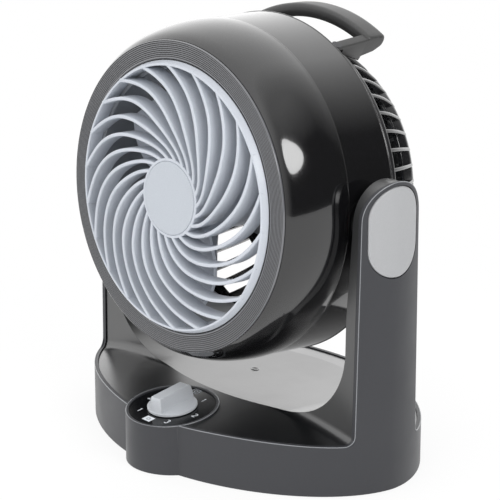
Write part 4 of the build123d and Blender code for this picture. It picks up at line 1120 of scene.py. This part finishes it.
@dataclass
class HeadDress:
    """Shells and air duct, with the rounded edges of the shells' joints, given as (radius, y)."""

    shop: Workshop
    seam: Pair = (104.9, -19.1)
    seam_half: float = 0.7
    seam_proud: float = 0.02
    seam_rise: float = 0.07
    seam_deep: float = 0.5
    lips: Line = ((105.55, 17.0), (103.85, 19.15))
    lip_round: float = 0.45

    def seam_ring(self) -> None:
        """Two rounded edges beside a fine groove: rise = h |sin(pi t)| over two half waves."""
        t = np.linspace(0, 2, 25)
        (r, y), half = self.seam, self.seam_half
        rise = r + self.seam_proud + self.seam_rise * np.abs(np.sin(np.pi * t))
        under = [(r - self.seam_deep, y + half), (r - self.seam_deep, y - half)]
        profile = np.concatenate([np.stack([rise, y - half + half * t], axis=-1), under])
        self.shop.make("shell_seam", [spin(profile, 256)], Finish.GLOSS_BLACK, Body.HEAD, sharp=60)

    def lip_rings(self) -> None:
        """Rounded edges of the stepped rear rim: small circles carried round the fan axis."""
        forms = [spin(circle(self.lip_round, 12) + np.array(place), 256) for place in self.lips]
        self.shop.make("rear_rim_edges", forms, Finish.GLOSS_BLACK, Body.HEAD)

    def build(self) -> None:
        """Dress the shells."""
        self.shop.dress(Finish.GLOSS_BLACK, "front_shell", "rear_shell")
        self.shop.dress(Finish.DUCT_GREY, "air_duct")
        self.shop.dress(Finish.BLADE_GREY, "impeller")
        self.seam_ring()
        self.lip_rings()


@dataclass
class GuardDress:
    """Rear guard: base ring, rounded fins, the dish that carries the motor, and four tabs."""

    shop: Workshop
    ring: tuple[Pair, Pair] = ((94.5, 19.3), (100.9, 26.0))
    ring_rounds: Rounds = (0.3, 0.6, 1.4, 0.8)
    fins: int = 50
    phase: float = 0.1  # Turn of the first fin, in pitches.
    thick: float = 2.3
    deep: float = 5.0
    fin_rounds: Rounds = (0.4, 0.4, 0.9, 0.9)
    side: Line = ((97.6, 24.0), (97.0, 27.0), (90.6, 44.0), (83.6, 56.0), (79.3, 62.4),
                  (76.0, 66.2), (70.0, 68.7), (64.2, 69.7))
    dish: Line = (
        (0.0, 64.6), (36.5, 64.6), (36.5, 66.6), (65.4, 66.6), (68.9, 65.7), (73.4, 63.9),
        (75.9, 61.0), (75.9, 54.0), (79.6, 54.0), (79.6, 61.8), (76.3, 65.8), (70.6, 68.2),
        (65.0, 69.2), (0.0, 69.2))
    dish_rounds: Rounds = (0, 0.3, 0.3, 1.5, 1.5, 1.5, 1.5, 0.8, 0.8, 1.8, 1.8, 1.8, 1.8, 0)
    tab_bays: tuple[int, ...] = (4, 20, 29, 45)  # Gaps between fins that hold a tab.
    tab_run: Pair = (85.0, 95.0)
    tab_half: Pair = (6.0, 1.25)
    tab_round: float = 0.4

    def bays(self, numbers: Points) -> Points:
        """Angles of fins by number, degrees; a half number lies between two fins."""
        return (numbers + self.phase) * (360 / self.fins)

    def fin_forms(self) -> list[Form]:
        """Fins: a rounded section carried down the guard's side, half its depth inside the line.

        Returns:
            One form for each fin.
        """
        outer = smooth_line(np.array(self.side), 40)
        along = unit(np.gradient(outer, axis=0))
        inward = np.column_stack([-along[:, 1], along[:, 0], np.zeros(len(outer))])
        half, deep = self.thick / 2, self.deep / 2
        path = np.column_stack([outer, np.zeros(len(outer))]) + inward * deep
        section = soften(rectangle((-half, -deep), (half, deep)), self.fin_rounds)
        return carry(section, path, Z_AXIS, -inward).copies(self.bays(np.arange(self.fins)))

    def tab_forms(self) -> list[Form]:
        """Tabs under the shell screws: a rounded section carried straight out.

        Returns:
            One form for each tab.
        """
        wide, thick = self.tab_half
        path = np.array([(r, self.ring[0][1] + thick, 0.0) for r in self.tab_run])
        section = soften(rectangle((-wide, -thick), (wide, thick)), self.tab_round, 4)
        one = carry(section, path, Z_AXIS, Y_AXIS)
        return one.copies(self.bays(np.array(self.tab_bays) + 0.5))

    def build(self) -> None:
        """Dress the guard."""
        ring = spin(soften(rectangle(*self.ring), self.ring_rounds), 200)
        dish = spin(lathe_line(self.dish, self.dish_rounds, 6), 160, closed=False)
        self.shop.make("finned_guard", [ring, dish, *self.fin_forms(), *self.tab_forms()],
                       Finish.GUARD_BLACK, Body.HEAD, "rear_guard", sharp=50)


@dataclass
class HandleDress:
    """Carrying handle: a rounded bar on two flat legs, with their lines as (radius, y)."""

    shop: Workshop
    bar: Line = ((100.0, 47.0), (103.0, 45.0), (108.6, 45.0), (108.6, 61.2), (100.0, 61.2))
    bar_rounds: Rounds = (0.8, 1.6, 2.8, 4.4, 3.2)
    half_angle: float = 27.4  # Half the angle that the bar covers, degrees.
    end_turn: float = 1.1  # Angle over which its ends are rounded, degrees.
    end_shrink: float = 0.22  # Share by which they shrink.
    leg_half: float = 3.2
    leg_round: float = 1.1
    leg_out: Line = ((103.4, 19.5), (104.1, 26.0), (104.2, 26.6), (106.7, 43.7), (106.9, 45.0),
                     (108.2, 54.0), (106.2, 58.2))
    leg_in: Line = ((101.1, 19.5), (101.1, 26.2), (98.0, 26.5), (91.6, 44.0), (94.6, 44.7),
                    (97.4, 54.0), (100.6, 58.2))

    def bar_form(self) -> Form:
        """Section turned about the fan axis; towards its ends it shrinks by a quarter circle.

        Returns:
            The bar.
        """
        outline = soften(self.bar, self.bar_rounds, 7)
        middle = outline.mean(axis=0)
        quarter = np.linspace(0, np.pi / 2, 7)
        lean = self.half_angle - self.end_turn * (1 - np.cos(quarter))
        size = np.concatenate([[0.0], 1 - self.end_shrink * (1 - np.sin(quarter[:-1]))])
        inside = np.linspace(-lean[-1], lean[-1], 50)[1:-1]
        angle = np.radians(90 + np.concatenate([-lean, inside, lean[::-1]]))[:, None]
        scale = np.concatenate([size, np.ones(len(inside)), size[::-1]])[:, None, None]
        flat = middle + (outline - middle)[None] * scale
        r, y = flat[..., 0], flat[..., 1]
        return Form(np.stack([r * np.cos(angle), y, r * np.sin(angle)], axis=-1), wrap_columns=True)

    def leg_form(self) -> Form:
        """Rounded rectangles between the leg's outer and inner edge, laid one above the other.

        Returns:
            A leg along +X.
        """
        rows = []
        for out, inn in zip(np.array(self.leg_out), np.array(self.leg_in)):
            long = float(np.linalg.norm(out - inn)) / 2
            corners = rectangle((-long, -self.leg_half), (long, self.leg_half))
            section = soften(corners, self.leg_round)
            flat = (out + inn) / 2 + section[:, :1] * (out - inn) / (2 * long)
            rows.append(np.column_stack([flat, section[:, 1]]))
        return closed_by_middles(np.array(rows))

    def build(self) -> None:
        """Dress the handle."""
        outer_r = max(r for r, _ in self.bar)
        place = 90 - self.half_angle + math.degrees(self.leg_half / outer_r)
        legs = self.leg_form().copies(np.array([place, 180 - place]))
        self.shop.make("rounded_handle", [self.bar_form(), *legs], Finish.HANDLE_GREY, Body.HEAD,
                       "carry_handle", sharp=50)


@dataclass
class WorksDress:
    """Motor, swing drive, screws and what else is inside."""

    shop: Workshop

    def build(self) -> None:
        """Dress the works."""
        self.shop.dress(Finish.STEEL, "swing_washer", "swing_screw", "base_screws",
                        "swing_motor_screws", "crank_pin", "knob_spindle", "pivot_pins",
                        "pivot_nuts", "impeller_nut", "motor_shaft", "motor_screws",
                        "shell_screws", "swing_motor")
        self.shop.dress(Finish.HIDDEN_GREY, "handle_screws", "rotary_switch", "run_capacitor")
        self.shop.dress(Finish.IRON, "ballast_plate", "motor_rotor", "motor_stator")
        self.shop.dress(Finish.ALLOY, "motor_front_cover", "motor_rear_cover")
        self.shop.dress(Finish.COPPER, "motor_coils")
        self.shop.dress(Finish.BRONZE, "motor_bushes")
        self.shop.dress(Finish.FIBRE, "friction_washers")
        self.shop.dress(Finish.SLIDE_WHITE, "crank_arm", "terminal_block")


# ---------------- studio
@dataclass
class Studio:
    """Camera, floor, lamp and surroundings.

    The turns of the wall and the lamp are degrees to the right of the camera's view.  A span holds
    the values between which a light fades in: metres from the middle, or cosines to a direction.
    """

    turn: float = 47.525  # How far the camera stands to the right of straight in front, degrees.
    rise: float = 18.267  # How far it looks down, degrees.
    focal_px: float = 2419.25
    picture_px: float = 500.0
    sensor: float = 36.0
    look_at: Triple = (0.0, 0.0, 120.0)
    distance: float = 1510.85
    shift_right: float = -0.413
    shift_up: float = 1.29
    floor_half: float = 2400.0
    floor_white: float = 0.97
    glow_span: Pair = (0.12, 0.34)
    glow_least: float = 0.85
    dim: float = 0.06
    wall_turn: float = -60.0
    wall_span: Pair = (-0.76, -0.1)
    wall_light: float = 1.3
    ceiling_span: Pair = (0.55, 0.85)
    ceiling_light: float = 0.75
    lamp_turn: float = 146.0
    lamp_rise: float = 31.0
    lamp_aim_z: float = 160.0
    lamp_far: float = 1.622  # Metres.
    lamp_size: Pair = (1.1, 0.58)  # Metres.
    lamp_watts: float = 12.5

    def heading(self, degrees: float) -> Vector:
        """Level direction that lies so many degrees to the right of the camera's view."""
        way = math.radians(degrees - self.turn)
        return Vector((math.sin(way), math.cos(way), 0))

    def camera(self) -> None:
        """Camera of the photograph."""
        a, e = math.radians(self.turn), math.radians(self.rise)
        right = Vector((math.cos(a), math.sin(a), 0))
        up = Vector((-math.sin(a) * math.sin(e), math.cos(a) * math.sin(e), math.cos(e)))
        back = right.cross(up)
        lens = bpy.data.cameras.new("camera")
        lens.sensor_width = self.sensor
        lens.lens = self.focal_px * self.sensor / self.picture_px
        lens.clip_start = 0.05
        stand = bpy.data.objects.new("camera", lens)
        stand.location = (Vector(self.look_at) + back * self.distance + right * self.shift_right
                          + up * self.shift_up) * MM
        stand.rotation_euler = back.to_track_quat("Z", "Y").to_euler()
        bpy.context.scene.collection.objects.link(stand)
        bpy.context.scene.camera = stand

    def floor(self) -> None:
        """White table: lit near the fan, where it keeps the shadow, and plain white further out."""
        h = self.floor_half
        grid = np.array([[(-h, -h, 0), (-h, h, 0)], [(h, -h, 0), (h, h, 0)]], float)
        table = lay_mesh("floor", [Form(grid)])
        made, wire, lit = new_material("floor_white")
        wire.feed(lit, {"Base Color": (*[self.floor_white] * 3, 1), "Roughness": 0.7,
                        "Specular IOR Level": 0.2})
        glow = wire.add("ShaderNodeEmission")
        place = wire.add("ShaderNodeTexCoord").outputs["Object"]
        length = wire.add("ShaderNodeVectorMath", {0: place}, operation="LENGTH")
        far = wire.span(length.outputs["Value"], *self.glow_span, self.glow_least)
        path = wire.add("ShaderNodeLightPath").outputs
        ray = wire.math("MAXIMUM", path["Is Camera Ray"], path["Is Glossy Ray"])
        mix = wire.add("ShaderNodeMixShader", {0: wire.math("MULTIPLY", far, ray),
                                               1: lit.outputs[0], 2: glow.outputs[0]})
        wire.feed(made.node_tree.nodes["Material Output"], {"Surface": mix.outputs[0]})
        table.data.materials.append(made)

    def world(self) -> None:
        """White wall behind and left of the fan, pale ceiling, dim room on the right and behind."""
        world = bpy.data.worlds.new("studio")
        world.use_nodes = True
        bpy.context.scene.world = world
        wire = Wiring(world.node_tree)
        path = wire.add("ShaderNodeLightPath").outputs
        place = wire.add("ShaderNodeTexCoord").outputs["Generated"]
        side = wire.add("ShaderNodeVectorMath", {0: place, 1: tuple(self.heading(self.wall_turn))},
                        operation="DOT_PRODUCT")
        high = wire.add("ShaderNodeSeparateXYZ", {0: place})
        wall = wire.span(side.outputs["Value"], *self.wall_span, self.dim, self.wall_light)
        ceiling = wire.span(high.outputs["Z"], *self.ceiling_span, self.dim, self.ceiling_light)
        shade = wire.math("MAXIMUM", wall, ceiling)
        clear = wire.math("MAXIMUM", path["Is Camera Ray"], path["Is Transmission Ray"])
        grey = wire.add("ShaderNodeCombineColor", {"Red": shade, "Green": shade, "Blue": shade})
        wire.feed(world.node_tree.nodes["Background"], {
            "Color": wire.blend(clear, grey.outputs[0], (1.0, 1.0, 1.0, 1.0)), "Strength": 1.0})

    def lamp(self) -> None:
        """Oval lamp that faces the fan from behind the camera's right shoulder."""
        rise = math.radians(self.lamp_rise)
        way = self.heading(self.lamp_turn) * math.cos(rise) + Vector((0, 0, math.sin(rise)))
        light = bpy.data.lights.new("key", "AREA")
        light.shape = "ELLIPSE"
        (light.size, light.size_y), light.energy = self.lamp_size, self.lamp_watts
        stand = bpy.data.objects.new("key", light)
        stand.location = Vector((0, 0, self.lamp_aim_z * MM)) + way * self.lamp_far
        stand.rotation_euler = way.to_track_quat("Z", "Y").to_euler()
        bpy.context.scene.collection.objects.link(stand)

    def build(self) -> None:
        """Set the studio up."""
        self.camera()
        self.floor()
        self.world()
        self.lamp()
        bpy.context.scene.view_settings.view_transform = "Standard"


def main() -> None:
    """Load the frame, build the studio and dress every sub-assembly."""
    logging.basicConfig(level=logging.INFO, format="%(message)s")
    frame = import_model()
    Studio().build()
    shop = Workshop(frame["nodes"])
    for kind in (BaseDress, DialDress, GrilleDress, BezelDress, HeadDress, GuardDress, HandleDress,
                 WorksDress):
        kind(shop).build()
        LOG.info("%s done", kind.__name__)
    if shop.left:
        LOG.warning("no finish for %s", sorted(shop.left))


if __name__ == "__main__":
    main()
